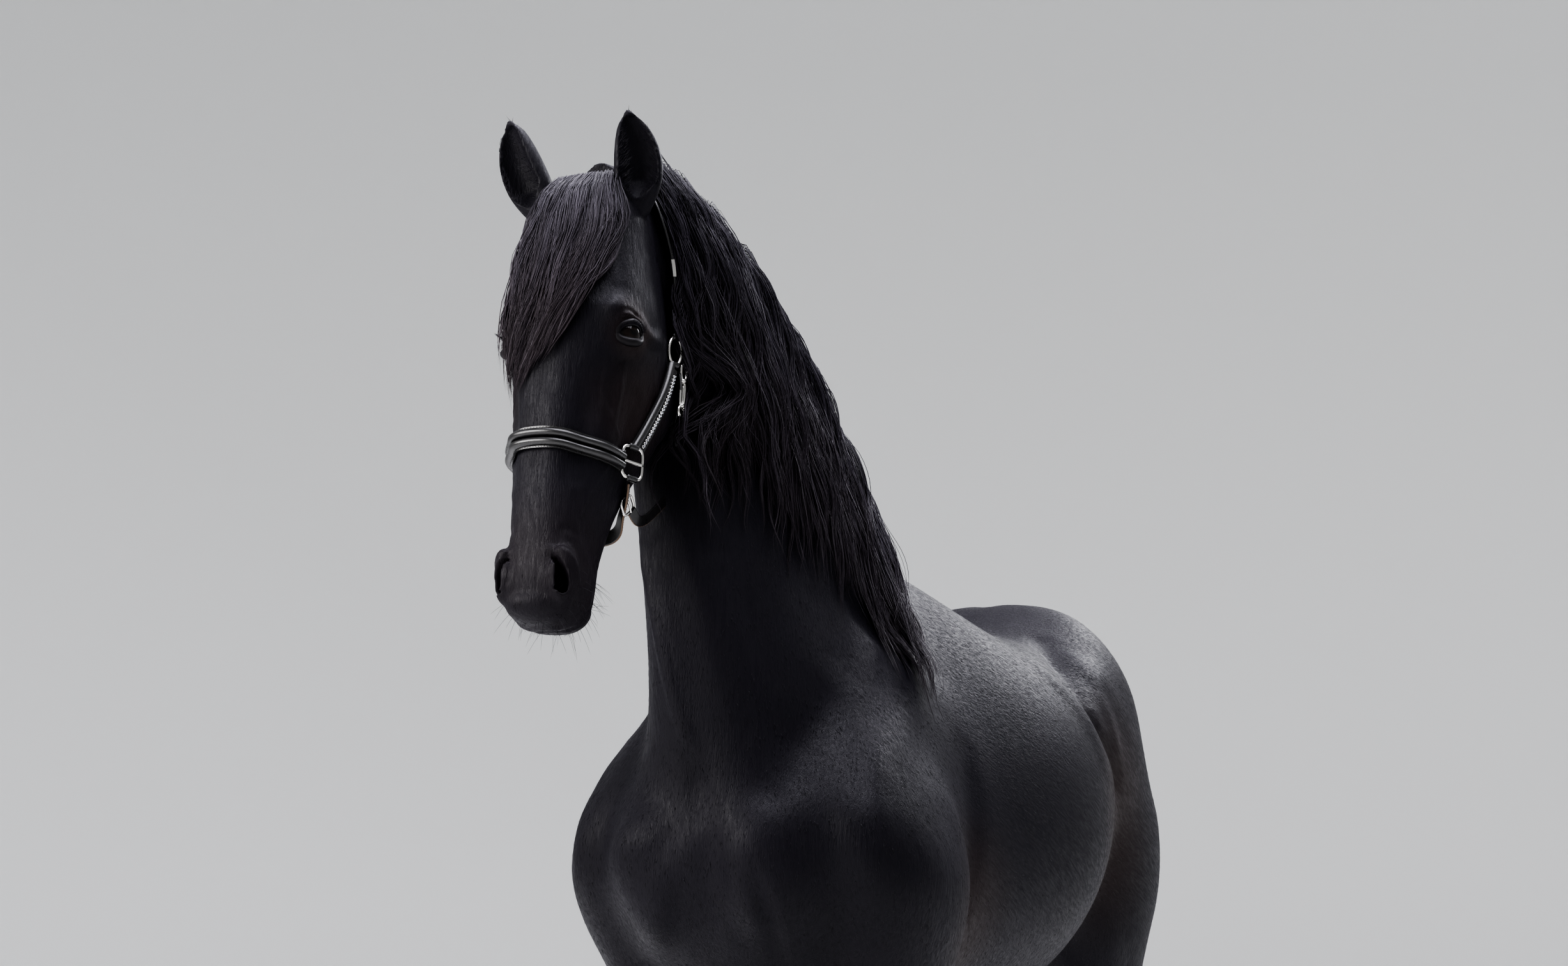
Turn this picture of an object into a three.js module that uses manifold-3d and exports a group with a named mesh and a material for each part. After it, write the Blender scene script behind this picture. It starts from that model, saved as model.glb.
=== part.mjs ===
// Friesian horse, standing, head carried high on an arched neck, with a leather head collar.
// Millimetres. The horse looks along -Y, its left side is +X, and it stands on Z = 0.
import * as THREE from "three";
import Module from "manifold-3d";

const wasm = await Module();
wasm.setup();
const { Manifold, Mesh } = wasm;

// Driving dimensions.
const GAP = 0.35; // clear air between two neighbouring solids
const FORM_TOLERANCE = 0.85; // how far the joined flesh may stray from its own form
const LOCK_TOLERANCE = 2.45; // how far a joined lock may stray from its own form
const STRAP_GAP = 1.1; // clear air between the collar and the head
const HAIR_GAP = 2.2; // clear air between a lock and a neighbour of its node
const RING = 18; // points round the trunk
const LEG_RING = 12; // points round a leg
const EYE_RADIUS = 20.5;
const LID = 4.5; // thickness of the eyelids
const STRAP_WIDTH = 25;
const STRAP_THICK = 5;
const HEAD_AT = [-69, -320, 1812]; // the face at the height of the eyes
const HEAD_TURN = THREE.MathUtils.degToRad(0.6);
const HEAD_TILT = THREE.MathUtils.degToRad(3.6); // muzzle ahead of the forehead
const HEAD_ROLL = THREE.MathUtils.degToRad(1.5);
const MANE_LOCKS = 26;
const FORELOCK_LOCKS = 11;
const TAIL_LOCKS = 23;
const FEATHER_LOCKS = 9;

// Trunk sections from breast to buttock: y, top, belly, half width, height of the widest point, roundness above and below.
const TRUNK = [
  [-14, 1190, 1075, 60, 1130, 2.0, 2.0],
  [8, 1228, 1015, 138, 1120, 2.0, 2.1],
  [60, 1280, 955, 196, 1108, 1.95, 2.2],
  [140, 1370, 905, 226, 1105, 1.8, 2.3],
  [240, 1475, 875, 246, 1112, 1.7, 2.3],
  [340, 1562, 850, 258, 1135, 1.6, 2.2],
  [430, 1606, 832, 268, 1145, 1.55, 2.1],
  [510, 1618, 824, 282, 1155, 1.6, 2.0],
  [600, 1602, 824, 302, 1165, 1.75, 2.0],
  [700, 1568, 828, 320, 1175, 1.95, 2.0],
  [800, 1542, 836, 330, 1180, 2.1, 2.0],
  [900, 1534, 852, 328, 1190, 2.2, 2.0],
  [1000, 1542, 880, 312, 1210, 2.3, 2.0],
  [1090, 1576, 918, 294, 1258, 2.45, 2.0],
  [1170, 1611, 955, 287, 1308, 2.6, 2.0],
  [1250, 1628, 990, 287, 1342, 2.6, 2.1],
  [1330, 1618, 1020, 277, 1352, 2.5, 2.2],
  [1410, 1579, 1050, 254, 1340, 2.4, 2.2],
  [1490, 1513, 1085, 212, 1310, 2.25, 2.2],
  [1550, 1430, 1120, 152, 1270, 2.1, 2.2],
  [1592, 1350, 1160, 100, 1250, 2.05, 2.1],
  [1614, 1290, 1200, 50, 1240, 2.0, 2.0],
];

// Neck sections from shoulder to throat: x, front edge y z, crest y z, half width.
const NECK = [
  [0, 40, 1080, 612, 1540, 175],
  [0, -10, 1190, 508, 1654, 150],
  [-4, -36, 1310, 414, 1780, 124],
  [-14, -52, 1430, 306, 1894, 104],
  [-28, -58, 1560, 182, 1986, 92],
  [-42, -56, 1685, 46, 2052, 85],
  [-54, -84, 1782, -92, 2080, 80],
  [-62, -150, 1850, -205, 2072, 72],
];

// Head sections from poll to lips, in the frame of the head:
// distance down the face, depth of its front and back, half width, share of the depth to the widest point, roundness front and back.
const SKULL = [
  [-232, 80, 125, 26, 0.5, 2.0, 2.0],
  [-215, 58, 152, 58, 0.5, 2.2, 2.2],
  [-180, 40, 188, 76, 0.45, 2.3, 2.2],
  [-130, 23, 216, 85, 0.42, 2.3, 2.2],
  [-80, 11, 241, 93, 0.36, 2.3, 2.2],
  [-30, 3, 256, 100, 0.3, 2.3, 2.3],
  [10, 0, 266, 99, 0.32, 2.3, 2.5],
  [60, 0, 268, 94, 0.4, 2.2, 2.6],
  [110, 0, 258, 87, 0.44, 2.2, 2.6],
  [155, 1, 232, 81, 0.42, 2.2, 2.5],
  [200, 2, 198, 73, 0.42, 2.2, 2.3],
  [250, 3, 167, 65, 0.44, 2.3, 2.2],
  [295, 3, 147, 60, 0.46, 2.3, 2.1],
  [330, 1, 135, 60, 0.42, 2.3, 2.1],
  [360, 0, 129, 62, 0.4, 2.3, 2.1],
  [387, 5, 123, 58, 0.45, 2.2, 2.1],
  [408, 20, 114, 47, 0.5, 2.1, 2.1],
  [420, 42, 94, 26, 0.5, 2.0, 2.0],
];

// Limb sections: height, x, y, half width, reach back, reach forward.
const FORE_LEG = [
  [1420, 150, 330, 48, 70, 80],
  [1350, 150, 300, 62, 105, 120],
  [1270, 168, 262, 70, 138, 160],
  [1180, 184, 232, 89, 166, 182],
  [1090, 200, 225, 101, 176, 180],
  [1010, 195, 245, 98, 152, 158],
  [940, 182, 266, 88, 120, 130],
  [870, 172, 280, 76, 93, 101],
  [790, 160, 286, 61, 74, 78],
  [700, 153, 290, 51, 60, 60],
  [620, 149, 292, 46, 50, 50],
  [560, 148, 292, 48, 50, 50],
  [515, 148, 292, 53, 52, 52],
  [475, 148, 294, 47, 48, 46],
  [435, 147, 296, 36, 42, 38],
  [370, 147, 297, 31, 40, 36],
  [305, 147, 298, 31, 40, 36],
  [262, 147, 299, 38, 46, 42],
  [228, 147, 297, 43, 50, 46],
  [192, 147, 284, 38, 44, 40],
  [152, 147, 264, 36, 38, 36],
  [118, 147, 250, 44, 46, 44],
  [88, 147, 241, 52, 54, 52],
];
const HIND_LEG = [
  [1440, 125, 1325, 84, 105, 118],
  [1340, 145, 1338, 112, 175, 180],
  [1240, 158, 1350, 117, 212, 218],
  [1150, 163, 1355, 116, 224, 234],
  [1060, 166, 1338, 110, 218, 224],
  [985, 166, 1310, 100, 194, 190],
  [910, 163, 1318, 85, 158, 150],
  [835, 158, 1356, 70, 122, 112],
  [760, 152, 1402, 57, 96, 86],
  [700, 148, 1442, 49, 90, 68],
  [655, 146, 1470, 46, 98, 62],
  [615, 145, 1492, 49, 98, 62],
  [570, 144, 1504, 51, 74, 58],
  [520, 143, 1512, 44, 56, 50],
  [460, 142, 1520, 36, 46, 42],
  [380, 142, 1526, 32, 42, 38],
  [310, 142, 1530, 33, 42, 38],
  [264, 142, 1532, 40, 48, 44],
  [230, 142, 1529, 44, 52, 48],
  [194, 142, 1515, 39, 45, 41],
  [154, 142, 1494, 36, 38, 36],
  [120, 142, 1479, 44, 46, 44],
  [88, 142, 1469, 52, 54, 52],
];
// Hoof sections: height, y of the middle, half width, reach back, reach forward.
const HOOF = [
  [86, 0, 52, 53, 52],
  [60, -10, 58, 56, 60],
  [30, -22, 64, 60, 70],
  [6, -32, 68, 62, 78],
  [0, -32, 66, 60, 76],
];

// Small vector helpers.
const add = (a, b, k = 1) => a.map((v, i) => v + b[i] * k);
const sub = (a, b) => a.map((v, i) => v - b[i]);
const dot = (a, b) => a[0] * b[0] + a[1] * b[1] + a[2] * b[2];
const cross = (a, b) => [
  a[1] * b[2] - a[2] * b[1],
  a[2] * b[0] - a[0] * b[2],
  a[0] * b[1] - a[1] * b[0],
];
const unit = (a) => {
  const l = Math.hypot(...a) || 1;
  return a.map((v) => v / l);
};
const lerp = (a, b, t) => a + (b - a) * t;
const mix = (a, b, t) => a.map((v, i) => lerp(v, b[i], t));
const clamp = (v, low, high) => Math.min(high, Math.max(low, v));
const power = (v, p) => Math.sign(v) * Math.abs(v) ** (2 / p);

// Seeded random numbers, so that every build is the same.
function randomFrom(seed) {
  let s = seed >>> 0;
  return () => {
    s = (s + 0x6d2b79f5) >>> 0;
    let t = Math.imul(s ^ (s >>> 15), 1 | s);
    t = (t + Math.imul(t ^ (t >>> 7), 61 | t)) ^ t;
    return ((t ^ (t >>> 14)) >>> 0) / 4294967296;
  };
}

// A smooth row of a table at a fractional position.
function rowAt(table, position) {
  const last = table.length - 1;
  const at = clamp(position, 0, last);
  const i = Math.min(Math.floor(at), last - 1);
  const t = at - i;
  const p0 = table[Math.max(i - 1, 0)];
  const p1 = table[i];
  const p2 = table[i + 1];
  const p3 = table[Math.min(i + 2, last)];
  return p1.map(
    (v, k) =>
      0.5 *
      (2 * v +
        (p2[k] - p0[k]) * t +
        (2 * p0[k] - 5 * v + 4 * p2[k] - p3[k]) * t * t +
        (3 * v - p0[k] - 3 * p2[k] + p3[k]) * t * t * t),
  );
}

// A closed solid from vertices and triangles, turned to face outwards.
function solid(vertices, triangles) {
  let volume = 0;
  for (const [a, b, c] of triangles)
    volume += dot(vertices[a], cross(vertices[b], vertices[c]));
  const faces = volume < 0 ? triangles.map(([a, b, c]) => [a, c, b]) : triangles;
  return new Manifold(
    new Mesh({
      numProp: 3,
      vertProperties: new Float32Array(vertices.flat()),
      triVerts: new Uint32Array(faces.flat()),
    }),
  );
}

// A solid skinned over rings of equal point count and closed by flat fans.
function loft(given, grow = 0) {
  const middle = (ring) =>
    ring.reduce((m, p) => add(m, p, 1 / ring.length), [0, 0, 0]);
  const moved = (ring, away) => {
    const run = unit(sub(middle(ring), middle(away)));
    return ring.map((p) => add(p, run, grow));
  };
  const rings = grow
    ? [moved(given[0], given[1]), ...given.slice(1, -1), moved(given.at(-1), given.at(-2))]
    : given;
  const n = rings[0].length;
  const vertices = rings.flat();
  const triangles = [];
  for (let r = 0; r + 1 < rings.length; r++)
    for (let i = 0; i < n; i++) {
      const j = (i + 1) % n;
      const a = r * n + i;
      const b = r * n + j;
      triangles.push([a, b, a + n], [b, b + n, a + n]);
    }
  const first = vertices.push(middle(rings[0])) - 1;
  const end = vertices.push(middle(rings.at(-1))) - 1;
  const base = (rings.length - 1) * n;
  for (let i = 0; i < n; i++) {
    const j = (i + 1) % n;
    triangles.push([first, j, i], [end, base + i, base + j]);
  }
  return solid(vertices, triangles);
}

// A rounded ring: half width along u, reach a along v and b against it.
function ring(centre, u, v, width, a, b, n, roundA = 2, roundB = 2, grow = 0) {
  const points = [];
  for (let i = 0; i < n; i++) {
    const angle = (2 * Math.PI * (i + 0.5)) / n;
    const s = Math.sin(angle);
    const p = s > 0 ? roundA : roundB;
    const along = (s > 0 ? a : b) + grow;
    points.push(
      add(
        add(centre, u, (width + grow) * power(Math.cos(angle), p)),
        v,
        along * power(s, p),
      ),
    );
  }
  return points;
}

const X = [1, 0, 0];
const Y = [0, 1, 0];
const Z = [0, 0, 1];

function ellipsoid(centre, u, v, radii, n = 8) {
  const w = unit(cross(u, v));
  const rings = [];
  for (let k = 1; k < n; k++) {
    const a = (Math.PI * k) / n;
    rings.push(
      ring(
        add(centre, w, -radii[2] * Math.cos(a)),
        u,
        v,
        radii[0] * Math.sin(a),
        radii[1] * Math.sin(a),
        radii[1] * Math.sin(a),
        n,
      ),
    );
  }
  return loft(rings);
}

// Trunk.
function trunk(grow = 0) {
  return loft(
    TRUNK.map(([y, top, belly, width, wide, p, q]) =>
      ring([0, y, wide], X, Z, width, top - wide, wide - belly, RING, p, q, grow),
    ),
    grow,
  );
}

// Neck: each ring stands across the line from its front edge to its crest.
function neckRow(position) {
  const [x, fy, fz, cy, cz, width] = rowAt(NECK, position);
  const front = [x, fy, fz];
  const crest = [x, cy, cz];
  return { front, crest, width, back: unit(sub(crest, front)) };
}
function neck(grow = 0) {
  const rings = [];
  for (let k = 0; k < NECK.length; k++) {
    const { front, crest, width, back } = neckRow(k);
    const half = Math.hypot(...sub(crest, front)) / 2;
    const centre = mix(front, crest, 0.42);
    rings.push(
      ring(centre, X, back, width, half * 1.16, half * 0.84, 18, 1.75, 2.25, grow),
    );
  }
  return loft(rings, grow);
}

// The frame of the head: lateral, forward out of the face, and down along it.
const headTurn = new THREE.Matrix4()
  .makeRotationZ(HEAD_TURN)
  .multiply(new THREE.Matrix4().makeRotationX(-HEAD_TILT))
  .multiply(new THREE.Matrix4().makeRotationY(HEAD_ROLL));
const turned = (v) =>
  new THREE.Vector3(...v).transformDirection(headTurn).toArray();
const LATERAL = turned([1, 0, 0]);
const FORWARD = turned([0, -1, 0]);
const DOWN = turned([0, 0, -1]);
const headPoint = (lateral, forward, down) =>
  add(add(add(HEAD_AT, LATERAL, lateral), FORWARD, forward), DOWN, down);

function skull(grow = 0) {
  const rings = [];
  for (const [down, front, back, width, share, p, q] of SKULL) {
    const depth = back - front;
    const centre = headPoint(0, -front - depth * share, down);
    rings.push(
      ring(centre, LATERAL, FORWARD, width, depth * share, depth * (1 - share), 18, p, q, grow),
    );
  }
  return loft(rings, grow);
}

// A limb on one side; side is 1 for the left and -1 for the right.
function limb(table, side, grow = 0) {
  return loft(
    table.map(([z, x, y, width, back, front]) =>
      ring([side * x, y, z], X, Y, width, back, front, LEG_RING, 2.2, 2.1, grow),
    ),
    grow,
  );
}
function hoof(table, side, grow = 0) {
  const [, x, y] = table.at(-1);
  return loft(
    HOOF.map(([z, shift, width, back, front]) =>
      ring([side * x, y + shift, z], X, Y, width, back, front, 12, 2.4, 2.1, grow),
    ),
    grow,
  );
}

// A lock of hair: flat, tapering, bent along its path, broadest near its middle.
function lock(path, normals, width, thick, shape = 0.55) {
  const n = path.length;
  const rings = path.map((p, k) => {
    const t = k / (n - 1);
    const ahead = unit(sub(path[Math.min(k + 1, n - 1)], path[Math.max(k - 1, 0)]));
    const side = unit(cross(ahead, normals[k]));
    const out = unit(cross(side, ahead));
    const swell = 0.5 + 0.5 * Math.sin(Math.PI * Math.min(1, t / shape) * 0.5);
    const taper = t < shape ? 1 : Math.max(0.06, 1 - ((t - shape) / (1 - shape)) ** 1.6);
    const w = (width * swell * taper) / 2;
    const h = (thick * Math.max(0.12, taper * (0.8 + 0.2 * swell))) / 2;
    return [add(add(p, side, w), out, -h), add(p, out, h), add(add(p, side, -w), out, -h)];
  });
  return loft(rings);
}

// Merges vertices of a joined form along its edges wherever it strays by less than the tolerance.
function thinned(made, tolerance) {
  const mesh = made.getMesh();
  const at = [];
  for (let i = 0; i < mesh.numVert; i++)
    at.push([...mesh.vertProperties.subarray(i * mesh.numProp, i * mesh.numProp + 3)]);
  const faces = [];
  const around = at.map(() => new Set());
  for (let f = 0; f < mesh.triVerts.length; f += 3) {
    const face = [...mesh.triVerts.subarray(f, f + 3)];
    face.forEach((v) => around[v].add(faces.length));
    faces.push(face);
  }
  const normalOf = ([a, b, c]) => cross(sub(at[b], at[a]), sub(at[c], at[a]));
  const planes = at.map((_, v) =>
    [...around[v]].map((f) => {
      const n = unit(normalOf(faces[f]));
      return [...n, -dot(n, at[faces[f][0]])];
    }),
  );
  const neighbours = (v) => {
    const found = new Set();
    for (const f of around[v]) for (const w of faces[f]) if (w !== v) found.add(w);
    return found;
  };
  const fits = (from, to) => {
    for (const [a, b, c, d] of planes[from])
      if (Math.abs(a * at[to][0] + b * at[to][1] + c * at[to][2] + d) > tolerance) return false;
    const near = neighbours(to);
    let shared = 0;
    for (const w of neighbours(from)) if (near.has(w)) shared++;
    if (shared !== 2) return false;
    for (const f of around[from]) {
      if (faces[f].includes(to)) continue;
      const before = normalOf(faces[f]);
      const after = normalOf(faces[f].map((w) => (w === from ? to : w)));
      const size = Math.hypot(...after);
      if (size < 1 || dot(before, after) < 0.5 * size * Math.hypot(...before)) return false;
    }
    return true;
  };
  for (let pass = 0; pass < 6; pass++)
    for (let from = 0; from < at.length; from++) {
      if (!around[from].size) continue;
      const near = [...neighbours(from)].sort(
        (p, q) => Math.hypot(...sub(at[p], at[from])) - Math.hypot(...sub(at[q], at[from])),
      );
      const to = near.find((w) => fits(from, w));
      if (to === undefined) continue;
      for (const f of [...around[from]]) {
        if (faces[f].includes(to)) {
          faces[f].forEach((w) => around[w].delete(f));
          continue;
        }
        faces[f] = faces[f].map((w) => (w === from ? to : w));
        around[to].add(f);
      }
      planes[to].push(...planes[from]);
      around[from].clear();
    }
  const kept = new Map();
  const triangles = [];
  faces.forEach((face, f) => {
    if (!around[face[0]].has(f)) return;
    triangles.push(face.map((v) => kept.get(v) ?? (kept.set(v, kept.size), kept.size - 1)));
  });
  return solid([...kept.keys()].map((v) => at[v]), triangles);
}

// The one large body of a form, without its loose scraps.
function largest(made) {
  return made.decompose().sort((a, b) => b.volume() - a.volume())[0];
}

// The outermost x of the flesh on a side, looked up on its triangles.
function surfaceFinder(body) {
  const mesh = body.getMesh();
  const v = mesh.vertProperties;
  const stride = mesh.numProp;
  const cell = 60;
  const cells = new Map();
  const point = (i) => [v[i * stride], v[i * stride + 1], v[i * stride + 2]];
  for (let f = 0; f < mesh.triVerts.length; f += 3) {
    const tri = [0, 1, 2].map((k) => point(mesh.triVerts[f + k]));
    const ys = tri.map((p) => Math.floor(p[1] / cell));
    const zs = tri.map((p) => Math.floor(p[2] / cell));
    for (let y = Math.min(...ys); y <= Math.max(...ys); y++)
      for (let z = Math.min(...zs); z <= Math.max(...zs); z++) {
        const key = y + "," + z;
        if (!cells.has(key)) cells.set(key, []);
        cells.get(key).push(tri);
      }
  }
  return (y, z) => {
    let best = null;
    const found = cells.get(Math.floor(y / cell) + "," + Math.floor(z / cell)) ?? [];
    for (const [a, b, c] of found) {
      const d = (b[1] - a[1]) * (c[2] - a[2]) - (c[1] - a[1]) * (b[2] - a[2]);
      if (Math.abs(d) < 1e-9) continue;
      const s = ((y - a[1]) * (c[2] - a[2]) - (c[1] - a[1]) * (z - a[2])) / d;
      const t = ((b[1] - a[1]) * (z - a[2]) - (y - a[1]) * (b[2] - a[2])) / d;
      if (s < 0 || t < 0 || s + t > 1) continue;
      const x = a[0] + s * (b[0] - a[0]) + t * (c[0] - a[0]);
      if (best === null || x > best) best = x;
    }
    return best;
  };
}

// Head details: sockets, lids, nostrils, mouth and ears.
const EYES = [1, -1].map((side) => ({
  side,
  centre: headPoint(side * 85.5, -64, 15),
  out: unit(add(LATERAL.map((v) => v * side * 0.93), FORWARD, 0.36)),
}));
function eyeFrame({ out }) {
  const up = unit(sub(DOWN.map((v) => v * -1), out.map((v) => -v * dot(DOWN, out))));
  return { up, along: cross(up, out) };
}
const ball = (centre, radius, n = 10) => ellipsoid(centre, X, Z, [radius, radius, radius], n);

function headFlesh() {
  const parts = [skull()];
  const cuts = [];
  for (const eye of EYES) {
    const { up, along } = eyeFrame(eye);
    const { side, centre, out } = eye;
    const rim = unit(add(LATERAL, FORWARD, side * 0.75));
    // Lids round the eye, with the brow over it.
    parts.push(ball(centre, EYE_RADIUS + LID));
    parts.push(ellipsoid(add(add(centre, up, 17), out, -3), along, up, [38, 13, 22]));
    parts.push(ellipsoid(headPoint(side * 80, -47, -14), LATERAL, FORWARD, [24, 32, 23], 7));
    cuts.push(ball(centre, EYE_RADIUS + GAP));
    cuts.push(ellipsoid(add(centre, out, 27), along, add(up, along, 0.12 * side), [18, 9.5, 17]));
    // Cheek muscle, facial crest and the wing of the nostril.
    parts.push(ellipsoid(headPoint(side * 56, -168, 45), LATERAL, FORWARD, [37, 88, 104]));
    parts.push(ellipsoid(headPoint(side * 64, -62, 112), LATERAL, FORWARD, [13, 15, 84], 7));
    parts.push(ellipsoid(headPoint(side * 42, -24, 352), LATERAL, FORWARD, [20, 26, 42]));
    cuts.push(ellipsoid(headPoint(side * 40, -12, 365), rim, add(DOWN, LATERAL, -0.12 * side), [12, 24, 20]));
    cuts.push(ellipsoid(headPoint(side * 38, -7, 340), rim, add(DOWN, LATERAL, -0.5 * side), [8, 17, 13], 6));
  }
  // Upper lip, lower lip and chin.
  parts.push(ellipsoid(headPoint(0, -38, 388), LATERAL, FORWARD, [50, 39, 31]));
  parts.push(ellipsoid(headPoint(0, -100, 386), LATERAL, FORWARD, [43, 31, 33]));
  // The line of the mouth, from the front of the lips to its corners.
  const slit = [[-62, 432], [-102, 338]].map(([f, d]) => headPoint(0, f, d));
  const over = cross(unit(sub(slit[1], slit[0])), LATERAL);
  cuts.push(loft(slit.map((p) => ring(p, LATERAL, over, 90, 1.5, 1.5, 8, 8, 8))));
  return thinned(Manifold.union(parts), FORM_TOLERANCE).subtract(Manifold.union(cuts));
}

// Ears: leaf-shaped cups, root and tip in the frame of the head.
const EARS = {
  left: { side: 1, turn: 0.6, wide: 1, root: [64, -104, -176], tip: [68, -56, -316] },
  right: { side: -1, turn: 0.36, wide: 1.1, root: [-70, -96, -178], tip: [-121, -46, -322] },
};
function ear({ side, turn, wide, root: rootAt, tip: tipAt }, grow = 0) {
  const root = headPoint(...rootAt);
  const tip = headPoint(...tipAt);
  const rise = unit(sub(tip, root));
  const open = unit(add(FORWARD, LATERAL, side * turn));
  const across = unit(cross(rise, open));
  const facing = unit(cross(across, rise));
  const outer = [];
  const inner = [];
  const widths = [22, 30, 35, 35, 31, 22, 4].map((w) => w * wide);
  widths.forEach((w, k) => {
    const t = k / (widths.length - 1);
    const c = add(mix(root, tip, t), LATERAL, side * 11 * Math.sin(Math.PI * t));
    outer.push(ring(c, across, facing, w, w * 0.55, w * 0.75, 10, 2, 2, grow));
    if (k > 1 && k < widths.length - 1)
      inner.push(ring(add(c, facing, w * 0.6), across, facing, w * 0.72, w * 0.7, w * 0.95, 8));
  });
  return grow ? loft(outer) : loft(outer).subtract(loft(inner));
}

// Straps and rings of the head collar.
function band(points, normals, width, thick) {
  const n = points.length;
  return loft(
    points.map((p, k) => {
      const ahead = unit(sub(points[Math.min(k + 1, n - 1)], points[Math.max(k - 1, 0)]));
      const side = unit(cross(ahead, normals[k]));
      const out = unit(cross(side, ahead));
      const w = width / 2;
      const h = thick / 2;
      return [[1, -1], [1, 0.4], [0.7, 1], [-0.7, 1], [-1, 0.4], [-1, -1]].map(([a, b]) =>
        add(add(p, side, w * a), out, h * b),
      );
    }),
  );
}
function hoop(centre, u, v, a, b, wire, corner = 2, n = 12) {
  const sides = 5;
  const w = unit(cross(u, v));
  const vertices = [];
  const triangles = [];
  for (let i = 0; i < n; i++) {
    const angle = (2 * Math.PI * (i + 0.5)) / n;
    const out = unit(add(u.map((c) => c * Math.cos(angle)), v, Math.sin(angle)));
    const p = add(
      add(centre, u, a * power(Math.cos(angle), corner)),
      v,
      b * power(Math.sin(angle), corner),
    );
    for (let k = 0; k < sides; k++) {
      const t = (2 * Math.PI * k) / sides;
      vertices.push(add(add(p, out, wire * Math.cos(t)), w, wire * Math.sin(t)));
      const i2 = ((i + 1) % n) * sides;
      const k2 = (k + 1) % sides;
      triangles.push([i * sides + k, i * sides + k2, i2 + k], [i * sides + k2, i2 + k2, i2 + k]);
    }
  }
  return solid(vertices, triangles);
}

// The flesh as one form, and the planes that part it.
const LEG_TOP = { fore: 955, hind: 990 };
const NECK_PLANE = planeThrough([0, -40, 1185], [0, 500, 1650]);
const HEAD_PLANE = planeThrough([0, -75, 1700], [0, -168, 2085]);
const THROAT = -66; // nothing of the head lies behind this, in front of the neck
function planeThrough(low, high) {
  const run = unit(sub(high, low));
  const normal = unit(cross(X, run));
  const facing = normal[1] < 0 ? normal : normal.map((v) => -v);
  return { normal: facing, at: dot(facing, low) };
}
const before = (body, plane, shift = 0) => body.trimByPlane(plane.normal, plane.at + shift);
const behind = (body, plane, shift = 0) =>
  body.trimByPlane(plane.normal.map((v) => -v), -(plane.at - shift));
const below = (body, z) => body.trimByPlane([0, 0, -1], -z);

const legs = [];
for (const side of [1, -1]) {
  legs.push({ name: "fore", side, table: FORE_LEG, top: LEG_TOP.fore });
  legs.push({ name: "hind", side, table: HIND_LEG, top: LEG_TOP.hind });
}
function breast() {
  return [1, -1].map((side) =>
    ellipsoid([side * 80, 76, 1098], X, Z, [92, 128, 108], 9),
  );
}
function body(grow = 0) {
  return Manifold.union([
    trunk(grow),
    neck(grow),
    ...(grow ? [] : breast()),
    ...legs.map(({ table, side }) => limb(table, side, grow)),
  ]);
}
const skullFlesh = headFlesh();
const whole = Manifold.union([body(), skullFlesh]);
const grown = Manifold.union([body(STRAP_GAP), skull(STRAP_GAP), skullFlesh]);
const surface = surfaceFinder(whole);
const surfaceRight = surfaceFinder(whole.mirror([1, 0, 0]));

// The room that the head takes: in front of its plane and of the throat.
const headRoom = (grow) =>
  before(Manifold.cube([2000, 2000, 2000], true).translate([0, THROAT - 1000 + grow, 2000]), HEAD_PLANE, -grow);
const headCore = largest(whole.intersect(headRoom(-GAP / 2)));
const neckCore = largest(before(whole.subtract(headRoom(GAP / 2)), NECK_PLANE, GAP / 2));
let torsoCore = behind(whole, NECK_PLANE, GAP / 2);
for (const { table, side, top } of legs)
  torsoCore = torsoCore.subtract(below(limb(table, side, GAP), top + GAP));
torsoCore = largest(torsoCore);
// The neighbours as the hair sees them, a little larger.
const grownWide = Manifold.union([body(HAIR_GAP), skull(HAIR_GAP), skullFlesh]);
const torsoGrown = behind(grownWide, NECK_PLANE, -HAIR_GAP);

const group = new THREE.Group();
group.name = "friesian_horse";
const COAT = 0x141216;
const HAIR = 0x1b191e;
const HORN = 0x2a2725;
const LEATHER = 0x0c0b0c;
const METAL = 0xc8c6c0;
const nodes = [];
const addNode = (name, made, colour) => nodes.push({ name, made, colour });

// Head collar.
const sideX = (side, y, z) => {
  const x = side > 0 ? surface(y, z) : surfaceRight(y, z);
  return x === null ? null : side * x;
};
// A point of the collar: beside the head where there is flesh, else where it is put.
function collarPoint([lateral, forward, down], lift) {
  const p = headPoint(lateral, forward, down);
  if (Math.abs(lateral) > 48) {
    const x = sideX(Math.sign(lateral), p[1], p[2]);
    if (x !== null) p[0] = x + Math.sign(lateral) * lift;
  }
  return p;
}
function normalsOf(points, middle) {
  return points.map((p) => unit(sub(p, [middle[0], middle[1], p[2]])));
}
const faceMiddle = headPoint(0, -90, 100);
const mirrored = (half) => [
  ...half.map(([l, f, d]) => [-l, f, d]).reverse().slice(0, -1),
  ...half,
];
function strap(half, width, lift, thick = STRAP_THICK, middle = faceMiddle) {
  const points = half.map((p) => collarPoint(p, lift));
  return band(points, normalsOf(points, middle), width, thick);
}
const NOSE_HALF = [[0, 6.5, 170], [24, 5.5, 171], [43, -3, 173], [56, -24, 176], [67, -52, 180], [74, -90, 184]];
const CHIN_HALF = [[0, -180, 270], [26, -176, 267], [46, -163, 254], [60, -140, 232], [72, -122, 204]];
const CROWN_HALF = [[0, -150, -250], [30, -150, -244], [56, -146, -222], [76, -156, -180], [86, -174, -134], [92, -190, -88], [96, -196, -40], [97, -196, -22]];
const THROAT_HALF = [[0, -288, 118], [34, -286, 114], [62, -270, 98], [84, -232, 66], [94, -204, 26]];
const CHEEK_HALF = [[98, -188, 22], [94, -172, 64], [88, -152, 106], [84, -134, 138], [80, -120, 160]];
const collarRings = [];
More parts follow.
